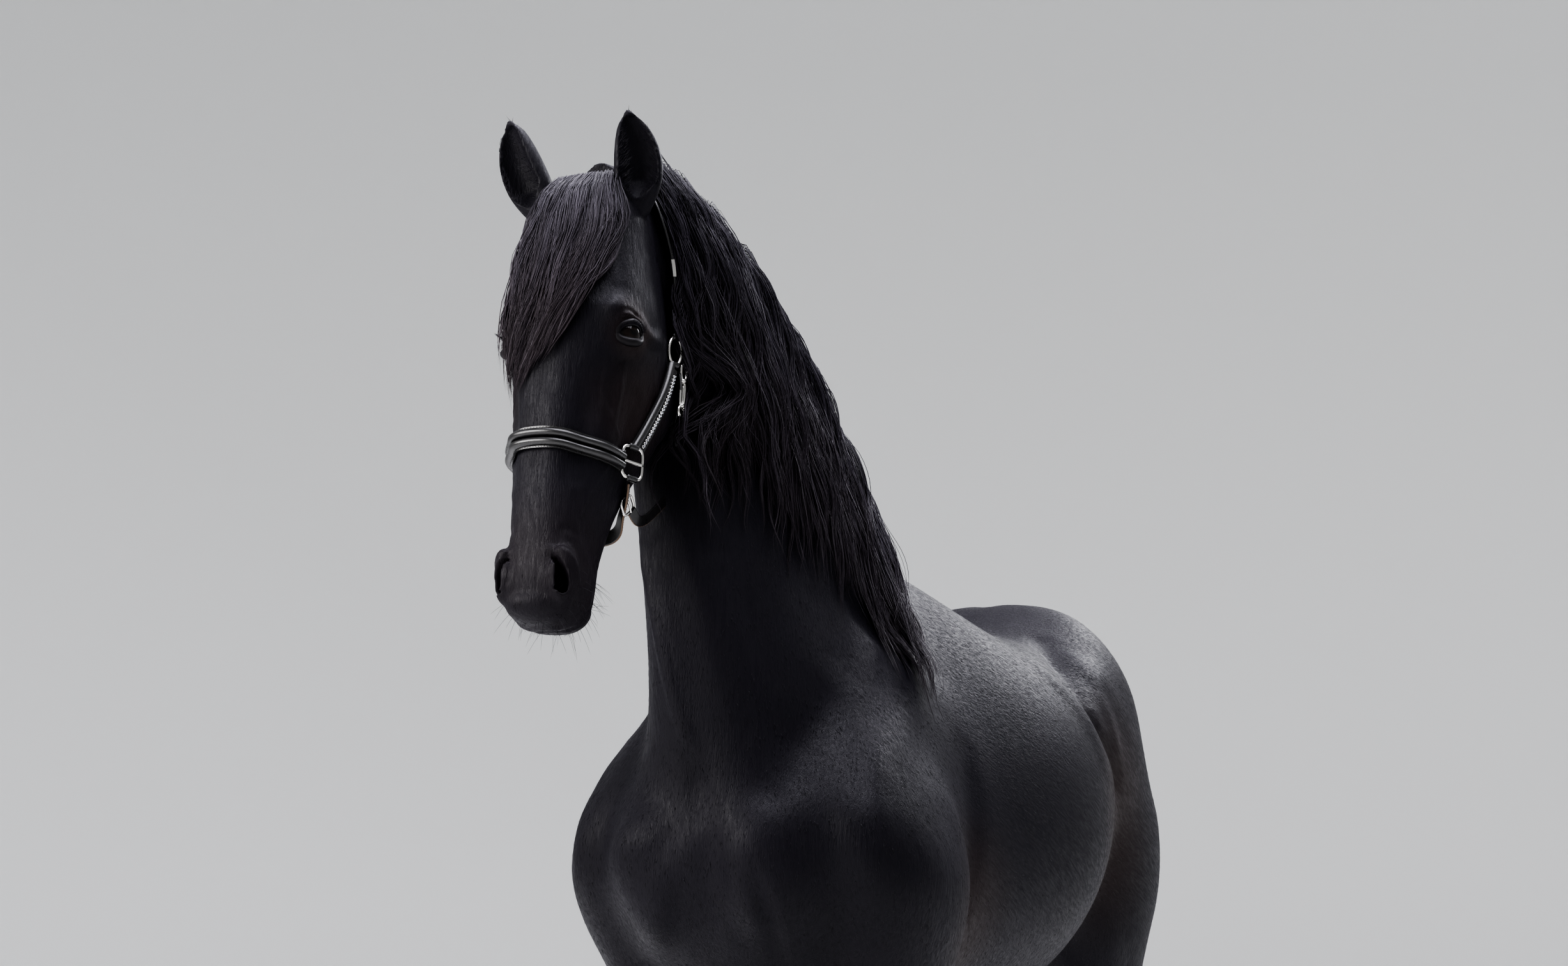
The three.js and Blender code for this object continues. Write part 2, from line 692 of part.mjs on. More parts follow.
for (const side of [1, -1]) {
  const tag = side > 0 ? "left" : "right";
  const upper = collarPoint([side * 97, -194, -3], 6);
  const lower = collarPoint([side * 79, -112, 181], 7);
  const sideways = unit(add(LATERAL.map((v) => v * side), FORWARD, 0.25));
  const along = unit(cross(sideways, DOWN));
  collarRings.push({ name: "ring_cheek_" + tag, at: upper, u: along, v: DOWN, a: 13, b: 20, wire: 3, corner: 2 });
  collarRings.push({ name: "ring_nose_" + tag, at: lower, u: along, v: DOWN, a: 20, b: 22, wire: 3, corner: 3.2 });
}
const hoopOf = (r, extra = 0) => hoop(r.at, r.u, r.v, r.a, r.b, r.wire + extra, r.corner);
const ringsGrown = Manifold.union(collarRings.map((r) => hoopOf(r, GAP)));
const STRAPS = [
  ["noseband", mirrored(NOSE_HALF), 28, 8, 9],
  ["chin_strap", mirrored(CHIN_HALF), 19, 6, 5],
  ["crownpiece", mirrored(CROWN_HALF), 20, 6, 5],
  ["throat_strap", mirrored(THROAT_HALF), 17, 6, 5],
  ["cheekpiece_left", CHEEK_HALF, STRAP_WIDTH, 6, 6],
  ["cheekpiece_right", CHEEK_HALF.map(([l, f, d]) => [-l, f, d]), STRAP_WIDTH, 6, 6],
];
let taken = ringsGrown;
const collar = [];
for (const [name, points, width, lift, thick] of STRAPS) {
  const cleared = largest(strap(points, width, lift, thick).subtract(grown).subtract(taken));
  addNode(name, cleared, LEATHER);
  taken = Manifold.union([taken, cleared]);
  collar.push(strap(points, width + 2 * HAIR_GAP, lift, thick + 2 * HAIR_GAP));
}
for (const r of collarRings) {
  const cleared = largest(hoopOf(r).subtract(grown));
  addNode(r.name, cleared, METAL);
}
const snapTop = collarPoint([98, -220, 6], 12);
const snap = largest(
  Manifold.union([
    hoop(add(snapTop, DOWN, 16), Y, DOWN, 9, 14, 2.8, 2, 8),
    ellipsoid(add(snapTop, DOWN, 44), Y, DOWN, [5, 18, 5], 6),
    hoop(add(snapTop, DOWN, 70), Y, DOWN, 10, 12, 2.8, 2, 8),
  ]).subtract(grown).subtract(taken),
);
addNode("snap_hook", snap, METAL);
collar.push(ellipsoid(add(snapTop, DOWN, 42), Y, DOWN, [18, 56, 16]));
const collarGrown = Manifold.union([...collar, ...collarRings.map((r) => hoopOf(r, HAIR_GAP))]);

// Eyes and ears.
const earsGrown = Manifold.union(Object.values(EARS).map((e) => ear(e, 3)));
for (const [tag, placed] of Object.entries(EARS))
  addNode("ear_" + tag, largest(ear(placed).subtract(grown).subtract(taken)), COAT);
EYES.forEach((eye) =>
  addNode("eye_" + (eye.side > 0 ? "left" : "right"), ball(eye.centre, EYE_RADIUS), 0x0a0705),
);

// Hair. Each lock runs along a short path of points that keeps clear of the flesh.
const pick = (random, low, high) => low + (high - low) * random();

// Mane: locks rooted along the crest that fall down the left side of the neck.
function maneLocks() {
  const random = randomFrom(11);
  const locks = [];
  for (let k = 0; k < MANE_LOCKS; k++) {
    const layer = k % 3;
    const u = lerp(6.35, 1.3, (k + pick(random, 0.2, 0.8)) / MANE_LOCKS);
    const { crest, back } = neckRow(u);
    const length = lerp(520, 350, clamp((2.6 - u) / 1.4, 0, 1)) * pick(random, 0.82, 1.08);
    const drift = pick(random, -22, 12) + clamp((u - 4.6) * 55, 0, 90) - clamp((3 - u) * 60, 0, 105);
    const phase = pick(random, 0, 6.28);
    const points = [add(crest, back, -16), add(add(crest, back, 17 + 9 * layer), X, 14)];
    const steps = 5;
    for (let s = 1; s <= steps; s++) {
      const t = s / steps;
      const fall = length * t;
      const wave = 9 * Math.sin(phase + t * 7.5) * Math.min(1, t * 2);
      const y = crest[1] + drift * t - back[1] * 12 * (1 - t) + wave;
      const z = crest[2] + 10 - fall;
      const found = sideX(1, y, z);
      const last = points.at(-1)[0];
      const want = (found ?? last - 8) + lerp(14, 8 + 10 * layer, t);
      points.push([Math.max(want, lerp(last, want, 0.7)), y, z]);
    }
    const normals = points.map((p, i) => (i < 2 ? unit(add(back, X, 0.5 * i)) : X));
    locks.push(lock(points, normals, pick(random, 58, 80), 17, 0.5));
  }
  return locks;
}

// Forelock: from between the ears over the forehead, swept to the right side of the face.
function forelockLocks() {
  const random = randomFrom(23);
  const locks = [];
  for (let k = 0; k < FORELOCK_LOCKS; k++) {
    const share = (k + 0.5) / FORELOCK_LOCKS;
    const from = lerp(-46, 52, share);
    const to = lerp(-66, -26, share) + pick(random, -5, 5);
    const end = lerp(70, 118, Math.sin(Math.PI * Math.min(1, share + 0.15))) * pick(random, 0.8, 1.05);
    const layer = k % 2;
    const points = [];
    const steps = 5;
    for (let s = 0; s <= steps; s++) {
      const t = s / steps;
      const down = lerp(-226, end, t ** 1.15);
      const bulge = 44 * share * Math.sin(Math.PI * clamp(t * 1.5, 0, 1));
      const lateral = lerp(from, to, t ** 1.35) + bulge + 3 * Math.sin(t * 9 + k);
      const [, front] = rowAt(SKULL, skullPosition(down));
      const lift = s === 0 ? -22 : 9 + 8 * layer + 6 * Math.sin(Math.PI * t);
      points.push(headPoint(lateral, -front - (lateral / 95) ** 2 * 30 + lift, down - (s === 1 ? 14 : 0)));
    }
    const normals = points.map((_, i) => (i < 2 ? unit(sub(FORWARD, DOWN)) : FORWARD));
    locks.push(lock(points, normals, pick(random, 28, 36), 11, 0.5));
  }
  return locks;
}
function skullPosition(down) {
  for (let i = 0; i + 1 < SKULL.length; i++)
    if (down <= SKULL[i + 1][0])
      return i + clamp((down - SKULL[i][0]) / (SKULL[i + 1][0] - SKULL[i][0]), 0, 1);
  return SKULL.length - 1;
}

// Tail: the dock, and locks from its sides and end down to the fetlocks.
const DOCK = [
  [1500, 1462, 40], [1548, 1446, 40], [1590, 1412, 37], [1622, 1362, 33],
  [1640, 1300, 29], [1650, 1230, 24], [1655, 1160, 18],
];
function dock() {
  return loft(
    DOCK.map(([y, z, radius], k) => {
      const next = DOCK[Math.min(k + 1, DOCK.length - 1)];
      const last = DOCK[Math.max(k - 1, 0)];
      const run = unit([0, next[0] - last[0], next[1] - last[1]]);
      return ring([0, y, z], X, unit(cross(run, X)), radius, radius * 0.8, radius * 0.8, 14);
    }),
  );
}
function tailLocks() {
  const random = randomFrom(37);
  const locks = [];
  for (let k = 0; k < TAIL_LOCKS; k++) {
    const share = (k + 0.5) / TAIL_LOCKS;
    const angle = k * 2.4;
    const [y, z, radius] = rowAt(DOCK, 1.7 + 4 * share);
    const across = Math.sin(angle);
    const rear = Math.cos(angle);
    const tip = lerp(150, 70, pick(random, 0, 1));
    const spread = pick(random, 62, 92);
    const phase = pick(random, 0, 6.28);
    const points = [[across * radius * 0.3, y, z]];
    const steps = 5;
    for (let s = 1; s <= steps; s++) {
      const t = s / steps;
      const gather = 1 - 0.45 * t ** 3;
      const wave = 10 * Math.sin(phase + 8 * t) * Math.min(1, 2 * t);
      points.push([
        across * lerp(radius, spread, Math.min(1, t * 2.2)) * gather + wave * 0.7,
        lerp(y, 1688, Math.min(1, t * 1.9)) + rear * lerp(radius * 0.8, 40, t) * gather + wave * 0.5,
        lerp(z, tip, t ** 0.92),
      ]);
    }
    const out = unit([across, rear + 0.3, 0]);
    locks.push(lock(points, points.map(() => out), pick(random, 58, 76), 24, 0.6));
  }
  return locks;
}

// Feather: locks round the back and sides of a fetlock, over the hoof.
function featherLocks(table, side, seed) {
  const random = randomFrom(seed);
  const locks = [];
  for (let k = 0; k < FEATHER_LOCKS; k++) {
    const share = (k + 0.5) / FEATHER_LOCKS;
    const angle = lerp(-2.25, 2.25, share) + pick(random, -0.1, 0.1);
    const across = Math.sin(angle);
    const rear = Math.cos(angle);
    const high = k % 2 ? pick(random, 285, 330) : pick(random, 215, 250);
    const root = rowAtHeight(table, high);
    const foot = rowAtHeight(table, 92);
    const tip = pick(random, 24, 52) + (rear < 0 ? 22 : 0);
    const reach = rear > 0 ? 34 : 20;
    const points = [];
    const steps = 4;
    for (let s = 0; s <= steps; s++) {
      const t = s / steps;
      const centre = mix(root, foot, Math.min(1, t * 1.1));
      const width = s === 0 ? 0.7 : 1;
      const flare = s === 0 ? 0 : lerp(7, reach, t) + 4 * Math.sin(5 * t + k);
      points.push([
        side * centre[1] + across * (centre[3] * width + flare),
        centre[2] + rear * ((rear > 0 ? centre[4] : centre[5]) * width + flare),
        lerp(high, tip, t),
      ]);
    }
    const out = unit([across, rear, 0.1]);
    locks.push(lock(points, points.map(() => out), pick(random, 32, 42), 12, 0.55));
  }
  return locks;
}
function rowAtHeight(table, z) {
  for (let i = 0; i + 1 < table.length; i++)
    if (z >= table[i + 1][0])
      return mix(table[i], table[i + 1], clamp((table[i][0] - z) / (table[i][0] - table[i + 1][0]), 0, 1));
  return table.at(-1);
}

// Fuses a core with its locks, cleared of the neighbours.
function haired(core, locks, clear) {
  const others = Manifold.union(clear);
  const hair = thinned(Manifold.union(locks).subtract(others), LOCK_TOLERANCE);
  return largest(Manifold.union([core, hair.subtract(others)]));
}
const eyesGrown = Manifold.union(EYES.map((e) => ball(e.centre, EYE_RADIUS + HAIR_GAP)));
const headSpace = headRoom(-HAIR_GAP);
const forelock = forelockLocks().map((made) => made.intersect(headSpace));
addNode("head", haired(headCore, forelock, [earsGrown, eyesGrown, collarGrown]), COAT);
addNode("neck", haired(neckCore, maneLocks(), [torsoGrown, headRoom(HAIR_GAP), earsGrown, collarGrown]), COAT);
addNode("torso", torsoCore, COAT);
const lowerLegs = legs.map(({ table, side, top }) => below(limb(table, side, GAP), top));
const dockCore = largest(dock().subtract(torsoGrown));
addNode("tail", haired(dockCore, tailLocks(), [torsoGrown, ...lowerLegs]), HAIR);
legs.forEach(({ name, side, table, top }, k) => {
  const tag = (name === "fore" ? "front" : "hind") + "_" + (side > 0 ? "left" : "right");
  const core = below(limb(table, side), top);
  addNode("leg_" + tag, haired(core, featherLocks(table, side, 51 + k), [hoof(table, side, 0.8)]), COAT);
  addNode("hoof_" + tag, hoof(table, side), HORN);
});

// Every node as a mesh, with the middle of the whole over the origin.
const low = [Infinity, Infinity, Infinity];
const high = [-Infinity, -Infinity, -Infinity];
for (const { made } of nodes) {
  const box = made.boundingBox();
  for (let c = 0; c < 3; c++) {
    low[c] = Math.min(low[c], box.min[c]);
    high[c] = Math.max(high[c], box.max[c]);
  }
}
// Corners of one body that touch are drawn apart, so that each edge joins two faces.
function drawnApart(positions, indices) {
  const places = new Map();
  for (let v = 0; v < positions.length / 3; v++) {
    const key = [0, 1, 2].map((c) => Math.round(positions[v * 3 + c] * 500)).join();
    if (!places.has(key)) places.set(key, []);
    places.get(key).push(v);
  }
  const doubled = new Set([...places.values()].filter((g) => g.length > 1).flat());
  if (!doubled.size) return;
  const outward = new Map([...doubled].map((v) => [v, [0, 0, 0]]));
  const at = (v) => [...positions.subarray(v * 3, v * 3 + 3)];
  for (let f = 0; f < indices.length; f += 3) {
    const [a, b, c] = indices.subarray(f, f + 3);
    if (![a, b, c].some((v) => doubled.has(v))) continue;
    const normal = cross(sub(at(b), at(a)), sub(at(c), at(a)));
    for (const v of [a, b, c])
      if (doubled.has(v)) outward.set(v, add(outward.get(v), normal));
  }
  for (const [v, normal] of outward) positions.set(add(at(v), unit(normal), -0.04), v * 3);
}
const shift = [-(low[0] + high[0]) / 2, -(low[1] + high[1]) / 2, -low[2]];
for (const { name, made, colour } of nodes) {
  const mesh = largest(made.translate(shift).simplify(0.05)).getMesh();
  const positions = new Float32Array(mesh.numVert * 3);
  for (let i = 0; i < mesh.numVert; i++)
    positions.set(mesh.vertProperties.subarray(i * mesh.numProp, i * mesh.numProp + 3), i * 3);
  drawnApart(positions, mesh.triVerts);
  const geometry = new THREE.BufferGeometry();
  geometry.setAttribute("position", new THREE.BufferAttribute(positions, 3));
  geometry.setIndex(new THREE.BufferAttribute(mesh.triVerts, 1));
  geometry.computeVertexNormals();
  const part = new THREE.Mesh(geometry, new THREE.MeshStandardMaterial({ color: colour }));
  part.name = name;
  group.add(part);
}

export default group;
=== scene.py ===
# %% [markdown]
# # A Friesian horse, standing
# The horse is black, with an arched neck, a long wavy mane and a leather head collar. The lesson
# goes from the camera and the flesh to the head, the hair, the collar and the light.

# %% Load the fixed frame
import math

import bpy
import numpy as np
from mathutils import Matrix, Vector
from mathutils.bvhtree import BVHTree


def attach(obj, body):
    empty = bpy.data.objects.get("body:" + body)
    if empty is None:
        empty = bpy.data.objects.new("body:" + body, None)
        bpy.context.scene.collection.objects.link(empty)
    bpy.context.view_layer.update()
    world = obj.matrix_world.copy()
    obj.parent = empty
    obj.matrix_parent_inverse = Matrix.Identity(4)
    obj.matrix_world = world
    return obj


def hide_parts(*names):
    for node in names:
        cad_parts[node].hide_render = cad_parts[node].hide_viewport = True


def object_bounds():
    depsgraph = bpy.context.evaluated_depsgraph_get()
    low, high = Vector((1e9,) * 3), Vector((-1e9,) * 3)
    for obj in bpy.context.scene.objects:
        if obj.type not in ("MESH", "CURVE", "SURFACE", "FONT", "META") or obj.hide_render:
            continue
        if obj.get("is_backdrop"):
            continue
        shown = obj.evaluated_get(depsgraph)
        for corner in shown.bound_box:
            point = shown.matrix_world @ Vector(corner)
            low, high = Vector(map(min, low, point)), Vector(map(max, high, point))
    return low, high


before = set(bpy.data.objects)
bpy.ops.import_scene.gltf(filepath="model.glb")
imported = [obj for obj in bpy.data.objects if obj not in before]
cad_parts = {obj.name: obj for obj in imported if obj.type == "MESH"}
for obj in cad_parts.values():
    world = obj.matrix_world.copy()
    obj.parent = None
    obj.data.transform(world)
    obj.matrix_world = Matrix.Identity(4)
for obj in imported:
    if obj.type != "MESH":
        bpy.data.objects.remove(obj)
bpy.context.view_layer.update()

# %% [markdown]
# ## The view
# The photograph was taken low, from ahead and to the left, through a lens that looks a little up.
# A camera's matrix holds its right, up and backward directions, so three numbers say where it
# stands and two say how it is turned.

# %% Stand the camera where the photograph was taken
def in_scene(name, data):
    made = bpy.data.objects.new(name, data)
    bpy.context.scene.collection.objects.link(made)
    return made


BEHIND_BREAST = 0.6952  # the middle of the horse lies this far behind the front of its breast
VIEW_TURN = math.radians(25.2)
VIEW_PITCH = math.radians(11.6)
VIEW_FAR = 3.00
VIEW_ASIDE = 0.120
VIEW_HIGH = 1.02
PIXELS_PER_UNIT = 3306.0  # on the photograph, for a metre at one metre's distance
PHOTO_SIZE = (2454, 1512)
SENSOR = 36.0

right = Vector((math.cos(VIEW_TURN), math.sin(VIEW_TURN), 0))
level = Vector((-math.sin(VIEW_TURN), math.cos(VIEW_TURN), 0))
eye_point = right * VIEW_ASIDE - level * VIEW_FAR + Vector((0, -BEHIND_BREAST, VIEW_HIGH))
ahead = level * math.cos(VIEW_PITCH) + Vector((0, 0, math.sin(VIEW_PITCH)))
upward = right.cross(ahead)
camera = in_scene("camera", bpy.data.cameras.new("camera"))
turned = Matrix((right, upward, -ahead)).transposed().to_4x4()
camera.matrix_world = Matrix.Translation(eye_point) @ turned
camera.data.sensor_width = SENSOR
camera.data.lens = PIXELS_PER_UNIT / PHOTO_SIZE[0] * SENSOR
camera.data.clip_end = 100
bpy.context.scene.camera = camera
print("lens", round(camera.data.lens, 1), "mm, at", [round(v, 2) for v in eye_point])


# %% Look through a pixel of the photograph
def ray_through(px, py):
    across = (px - PHOTO_SIZE[0] / 2) / PIXELS_PER_UNIT
    above = (PHOTO_SIZE[1] / 2 - py) / PIXELS_PER_UNIT
    return (ahead + right * across + upward * above).normalized()


# %% [markdown]
# ## The flesh
# A horse is easiest to measure in slices. Each table row is one slice through the trunk, neck,
# head or a leg, in millimetres, and the skin is drawn over the slices. A curve through the rows
# gives as many slices between them as a smooth skin needs.

# %% Slices of trunk, neck and head
# Trunk: behind the breast, top, belly, half width, height of the widest point, and how square it is
# above and below (2 is round).
TRUNK = [
    [-14, 1190, 1075, 60, 1130, 2.0, 2.0], [8, 1228, 1015, 138, 1120, 2.0, 2.1],
    [60, 1280, 955, 196, 1108, 1.95, 2.2], [140, 1370, 905, 226, 1105, 1.8, 2.3],
    [240, 1475, 875, 246, 1112, 1.7, 2.3], [340, 1562, 850, 258, 1135, 1.6, 2.2],
    [430, 1606, 832, 268, 1145, 1.55, 2.1], [510, 1618, 824, 282, 1155, 1.6, 2.0],
    [600, 1602, 824, 302, 1165, 1.75, 2.0], [700, 1568, 828, 320, 1175, 1.95, 2.0],
    [800, 1542, 836, 330, 1180, 2.1, 2.0], [900, 1534, 852, 328, 1190, 2.2, 2.0],
    [1000, 1542, 880, 312, 1210, 2.3, 2.0], [1090, 1576, 918, 294, 1258, 2.45, 2.0],
    [1170, 1611, 955, 287, 1308, 2.6, 2.0], [1250, 1628, 990, 287, 1342, 2.6, 2.1],
    [1330, 1618, 1020, 277, 1352, 2.5, 2.2], [1410, 1579, 1050, 254, 1340, 2.4, 2.2],
    [1490, 1513, 1085, 212, 1310, 2.25, 2.2], [1550, 1430, 1120, 152, 1270, 2.1, 2.2],
    [1592, 1350, 1160, 100, 1250, 2.05, 2.1], [1614, 1290, 1200, 50, 1240, 2.0, 2.0],
]
# Neck: sideways, front edge back and up, crest back and up, half width.
NECK = [
    [0, 40, 1080, 612, 1540, 175], [0, -10, 1190, 508, 1654, 150], [-4, -36, 1310, 414, 1780, 124],
    [-14, -52, 1430, 306, 1894, 104], [-28, -58, 1560, 182, 1986, 92],
    [-42, -56, 1685, 46, 2052, 85], [-54, -84, 1782, -92, 2080, 80], [-62, -150, 1850, -205, 2072, 72],
]
# Head: down the face, depth of front and back, half width, share to the widest point, squareness.
SKULL = [
    [-232, 80, 125, 26, 0.5, 2.0, 2.0], [-215, 58, 152, 58, 0.5, 2.2, 2.2],
    [-180, 40, 188, 76, 0.45, 2.3, 2.2], [-130, 23, 216, 85, 0.42, 2.3, 2.2],
    [-80, 11, 241, 93, 0.36, 2.3, 2.2], [-30, 3, 256, 100, 0.3, 2.3, 2.3],
    [10, 0, 266, 99, 0.32, 2.3, 2.5], [60, 0, 268, 94, 0.4, 2.2, 2.6],
    [110, 0, 258, 87, 0.44, 2.2, 2.6], [155, 1, 232, 81, 0.42, 2.2, 2.5],
    [200, 2, 198, 73, 0.42, 2.2, 2.3], [250, 3, 167, 65, 0.44, 2.3, 2.2],
    [295, 3, 147, 60, 0.46, 2.3, 2.1], [330, 1, 135, 60, 0.42, 2.3, 2.1],
    [360, 0, 129, 62, 0.4, 2.3, 2.1], [387, 5, 123, 58, 0.45, 2.2, 2.1],
    [408, 20, 114, 47, 0.5, 2.1, 2.1], [420, 42, 94, 26, 0.5, 2.0, 2.0],
]
print(len(TRUNK), "slices of trunk,", len(NECK), "of neck,", len(SKULL), "of head")

# %% Slices of the legs and hoofs
# Leg: height, sideways, back, half width, reach back, reach forward.
FORE_LEG = [
    [1420, 150, 330, 48, 70, 80], [1350, 150, 300, 62, 105, 120], [1270, 168, 262, 70, 138, 160],
    [1180, 184, 232, 89, 166, 182], [1090, 200, 225, 101, 176, 180], [1010, 195, 245, 98, 152, 158],
    [940, 182, 266, 88, 120, 130], [870, 172, 280, 76, 93, 101], [790, 160, 286, 61, 74, 78],
    [700, 153, 290, 51, 60, 60], [620, 149, 292, 46, 50, 50], [560, 148, 292, 48, 50, 50],
    [515, 148, 292, 53, 52, 52], [475, 148, 294, 47, 48, 46], [435, 147, 296, 36, 42, 38],
    [370, 147, 297, 31, 40, 36], [305, 147, 298, 31, 40, 36], [262, 147, 299, 38, 46, 42],
    [228, 147, 297, 43, 50, 46], [192, 147, 284, 38, 44, 40], [152, 147, 264, 36, 38, 36],
    [118, 147, 250, 44, 46, 44], [88, 147, 241, 52, 54, 52],
]
HIND_LEG = [
    [1440, 125, 1325, 84, 105, 118], [1340, 145, 1338, 112, 175, 180], [1240, 158, 1350, 117, 212, 218],
    [1150, 163, 1355, 116, 224, 234], [1060, 166, 1338, 110, 218, 224], [985, 166, 1310, 100, 194, 190],
    [910, 163, 1318, 85, 158, 150], [835, 158, 1356, 70, 122, 112], [760, 152, 1402, 57, 96, 86],
    [700, 148, 1442, 49, 90, 68], [655, 146, 1470, 46, 98, 62], [615, 145, 1492, 49, 98, 62],
    [570, 144, 1504, 51, 74, 58], [520, 143, 1512, 44, 56, 50], [460, 142, 1520, 36, 46, 42],
    [380, 142, 1526, 32, 42, 38], [310, 142, 1530, 33, 42, 38], [264, 142, 1532, 40, 48, 44],
    [230, 142, 1529, 44, 52, 48], [194, 142, 1515, 39, 45, 41], [154, 142, 1494, 36, 38, 36],
    [120, 142, 1479, 44, 46, 44], [88, 142, 1469, 52, 54, 52],
]
# Hoof: height, shift back, half width, reach back, reach forward.
HOOF = [
    [86, 0, 52, 53, 52], [60, -10, 58, 56, 60], [30, -22, 64, 60, 70], [6, -32, 68, 62, 78],
    [0, -32, 66, 60, 76],
]
COAT_DEPTH = 4.5  # millimetres of coat over the skin of the body
FACE_COAT = 2.2  # and over that of the face
SHIFT = np.array([0.0, -BEHIND_BREAST * 1000, 0.0])  # from the breast to the middle of the horse
print(len(FORE_LEG), "slices of fore leg,", len(HIND_LEG), "of hind leg")


# %% [markdown]
# A slice is a rounded ring. A loft joins rings into one closed surface. Points go from millimetres
# behind the breast to metres in the frame of the solids only at the end, in one helper.

# %% Rings, lofts and rounded forms
def unit(v):
    v = np.asarray(v, float)
    return v / np.maximum(np.linalg.norm(v, axis=-1, keepdims=True), 1e-12)


def rows_between(table, per):
    """A smooth curve through the rows of a table, with some more rows between two."""
    t = np.asarray(table, float)
    p = np.vstack([t[:1], t, t[-1:]])
    out = []
    for i in range(1, len(p) - 2):
        for s in np.arange(per) / per:
            a, b, c, d = p[i - 1], p[i], p[i + 1], p[i + 2]
            out.append(0.5 * (2 * b + (c - a) * s + (2 * a - 5 * b + 4 * c - d) * s**2
                              + (3 * b - a - 3 * c + d) * s**3))
    out.append(t[-1])
    return np.array(out)


def rounded_ring(centre, u, v, width, reach, back_reach, n=48, p=2.0, q=2.0):
    angle = 2 * np.pi * (np.arange(n) + 0.5) / n
    c, s = np.cos(angle), np.sin(angle)
    power = 2 / np.where(s > 0, p, q)
    along = np.where(s > 0, reach, back_reach) * np.sign(s) * np.abs(s) ** power
    wide = width * np.sign(c) * np.abs(c) ** power
    return np.asarray(centre) + wide[:, None] * np.asarray(u) + along[:, None] * np.asarray(v)


def grid_faces(rows, n, closed=False):
    """Quads between rows of n points; in a closed grid the last row meets the first."""
    faces = []
    for r in range(rows if closed else rows - 1):
        this, following = r * n, (r + 1) % rows * n
        for i in range(n):
            j = (i + 1) % n
            faces.append([this + i, this + j, following + j, following + i])
    return faces


def turned_out(points, faces):
    """Points and faces of a closed surface, with the faces turned round where they look inwards."""
    p, q, w = (points[[f[c] for f in faces]] - points.mean(0) for c in range(3))
    inwards = np.sum(p * np.cross(q - p, w - p)) < 0
    return points, [f[::-1] for f in faces] if inwards else faces


def loft(rings):
    """A closed surface over rings, with a fan at each end."""
    rings = np.asarray(rings)
    m, n, _ = rings.shape
    last = (m - 1) * n
    faces = grid_faces(m, n)
    faces += [[(j + 1) % n, j, m * n] for j in range(n)]
    faces += [[m * n + 1, last + j, last + (j + 1) % n] for j in range(n)]
    ends = [rings[0].mean(0), rings[-1].mean(0)]
    return turned_out(np.vstack([rings.reshape(-1, 3), ends]), faces)


def ball_form(centre, u, v, radii, n=24):
    u, v = unit(u), unit(v)
    w = unit(np.cross(u, v))
    rings = []
    for a in np.pi * (np.arange(1, n) / n):
        reach = radii[1] * math.sin(a)
        rings.append(rounded_ring(np.asarray(centre) - w * radii[2] * math.cos(a), u, v,
                                  radii[0] * math.sin(a), reach, reach, n))
    return loft(rings)


X, Y, Z = np.eye(3)
print("a ball form has", len(ball_form([0, 0, 0], X, Z, [1, 1, 1])[1]), "faces")


# %% Trunk, neck and legs
def trunk_form(inset):
    rings = []
    for y, top, belly, width, wide, p, q in rows_between(TRUNK, 5):
        rings.append(rounded_ring([0, y, wide], X, Z, width - inset, top - wide - inset,
                                  wide - belly - inset, 72, p, q))
    return loft(rings)


def neck_form(inset):
    rings = []
    for x, fy, fz, cy, cz, width in rows_between(NECK, 8):
        front, crest = np.array([x, fy, fz]), np.array([x, cy, cz])
        half = np.linalg.norm(crest - front) / 2
        rings.append(rounded_ring(front + (crest - front) * 0.42, X, unit(crest - front), width - inset,
                                  half * 1.16 - inset, half * 0.84 - inset, 64, 1.75, 2.25))
    return loft(rings)


def leg_form(table, side, inset):
    rings = []
    for z, x, y, width, back, front in rows_between(table, 5):
        less = inset * min(1, max(0.5, z / 800))
        rings.append(rounded_ring([side * x, y, z], X, Y, width - less, back - less, front - less,
                                  40, 2.2, 2.1))
    return loft(rings)


def breast_form(side, inset):
    return ball_form([side * 80, 76, 1098], X, Z, [92 - inset, 128 - inset, 108 - inset], 32)


# %% The frame of the head
HEAD_AT = np.array([-69.0, -320.0, 1812.0])
turn = (Matrix.Rotation(math.radians(0.6), 3, "Z") @ Matrix.Rotation(-math.radians(3.6), 3, "X")
        @ Matrix.Rotation(math.radians(1.5), 3, "Y"))
LATERAL = np.array(turn @ Vector((1, 0, 0)))
FORWARD = np.array(turn @ Vector((0, -1, 0)))
DOWN = np.array(turn @ Vector((0, 0, -1)))


def head_point(lateral, forward, down):
    return HEAD_AT + LATERAL * lateral + FORWARD * forward + DOWN * down


def place(points):
    """From millimetres behind the breast to metres in the frame of the solids."""
    return (np.asarray(points) + SHIFT) / 1000


print("the forehead is", round(float(place(HEAD_AT)[2]), 3), "m high")

# %% [markdown]
# ## The head's forms
# A horse's face is bone under thin skin: brow, cheekbone and nose stand out, and the jaw is a
# broad disc. Each is one rounded form joined to the slices. Sockets, nostrils and the cups of the
# ears are cut away with forms of their own, and the mouth is pressed in later.

# %% Bones and flesh of the head
EYE_AT = (85.5, -64, 15)
EYE_RADIUS = 20.5
LID = 4.2
# How far an eye opens from its middle, in degrees.
OPEN_ASIDE, OPEN_UP, OPEN_DOWN = 57, 30, 22
# Rounded forms on each side: sideways, forward, down; half sizes the same way; slices.
SIDE_FORMS = [
    ((80, -47, -14), [23, 31, 24], 24), ((56, -168, 45), [35, 86, 102], 32),
    ((64, -62, 112), [11.5, 13, 82], 24), ((42, -24, 352), [18, 24, 40], 24),
]


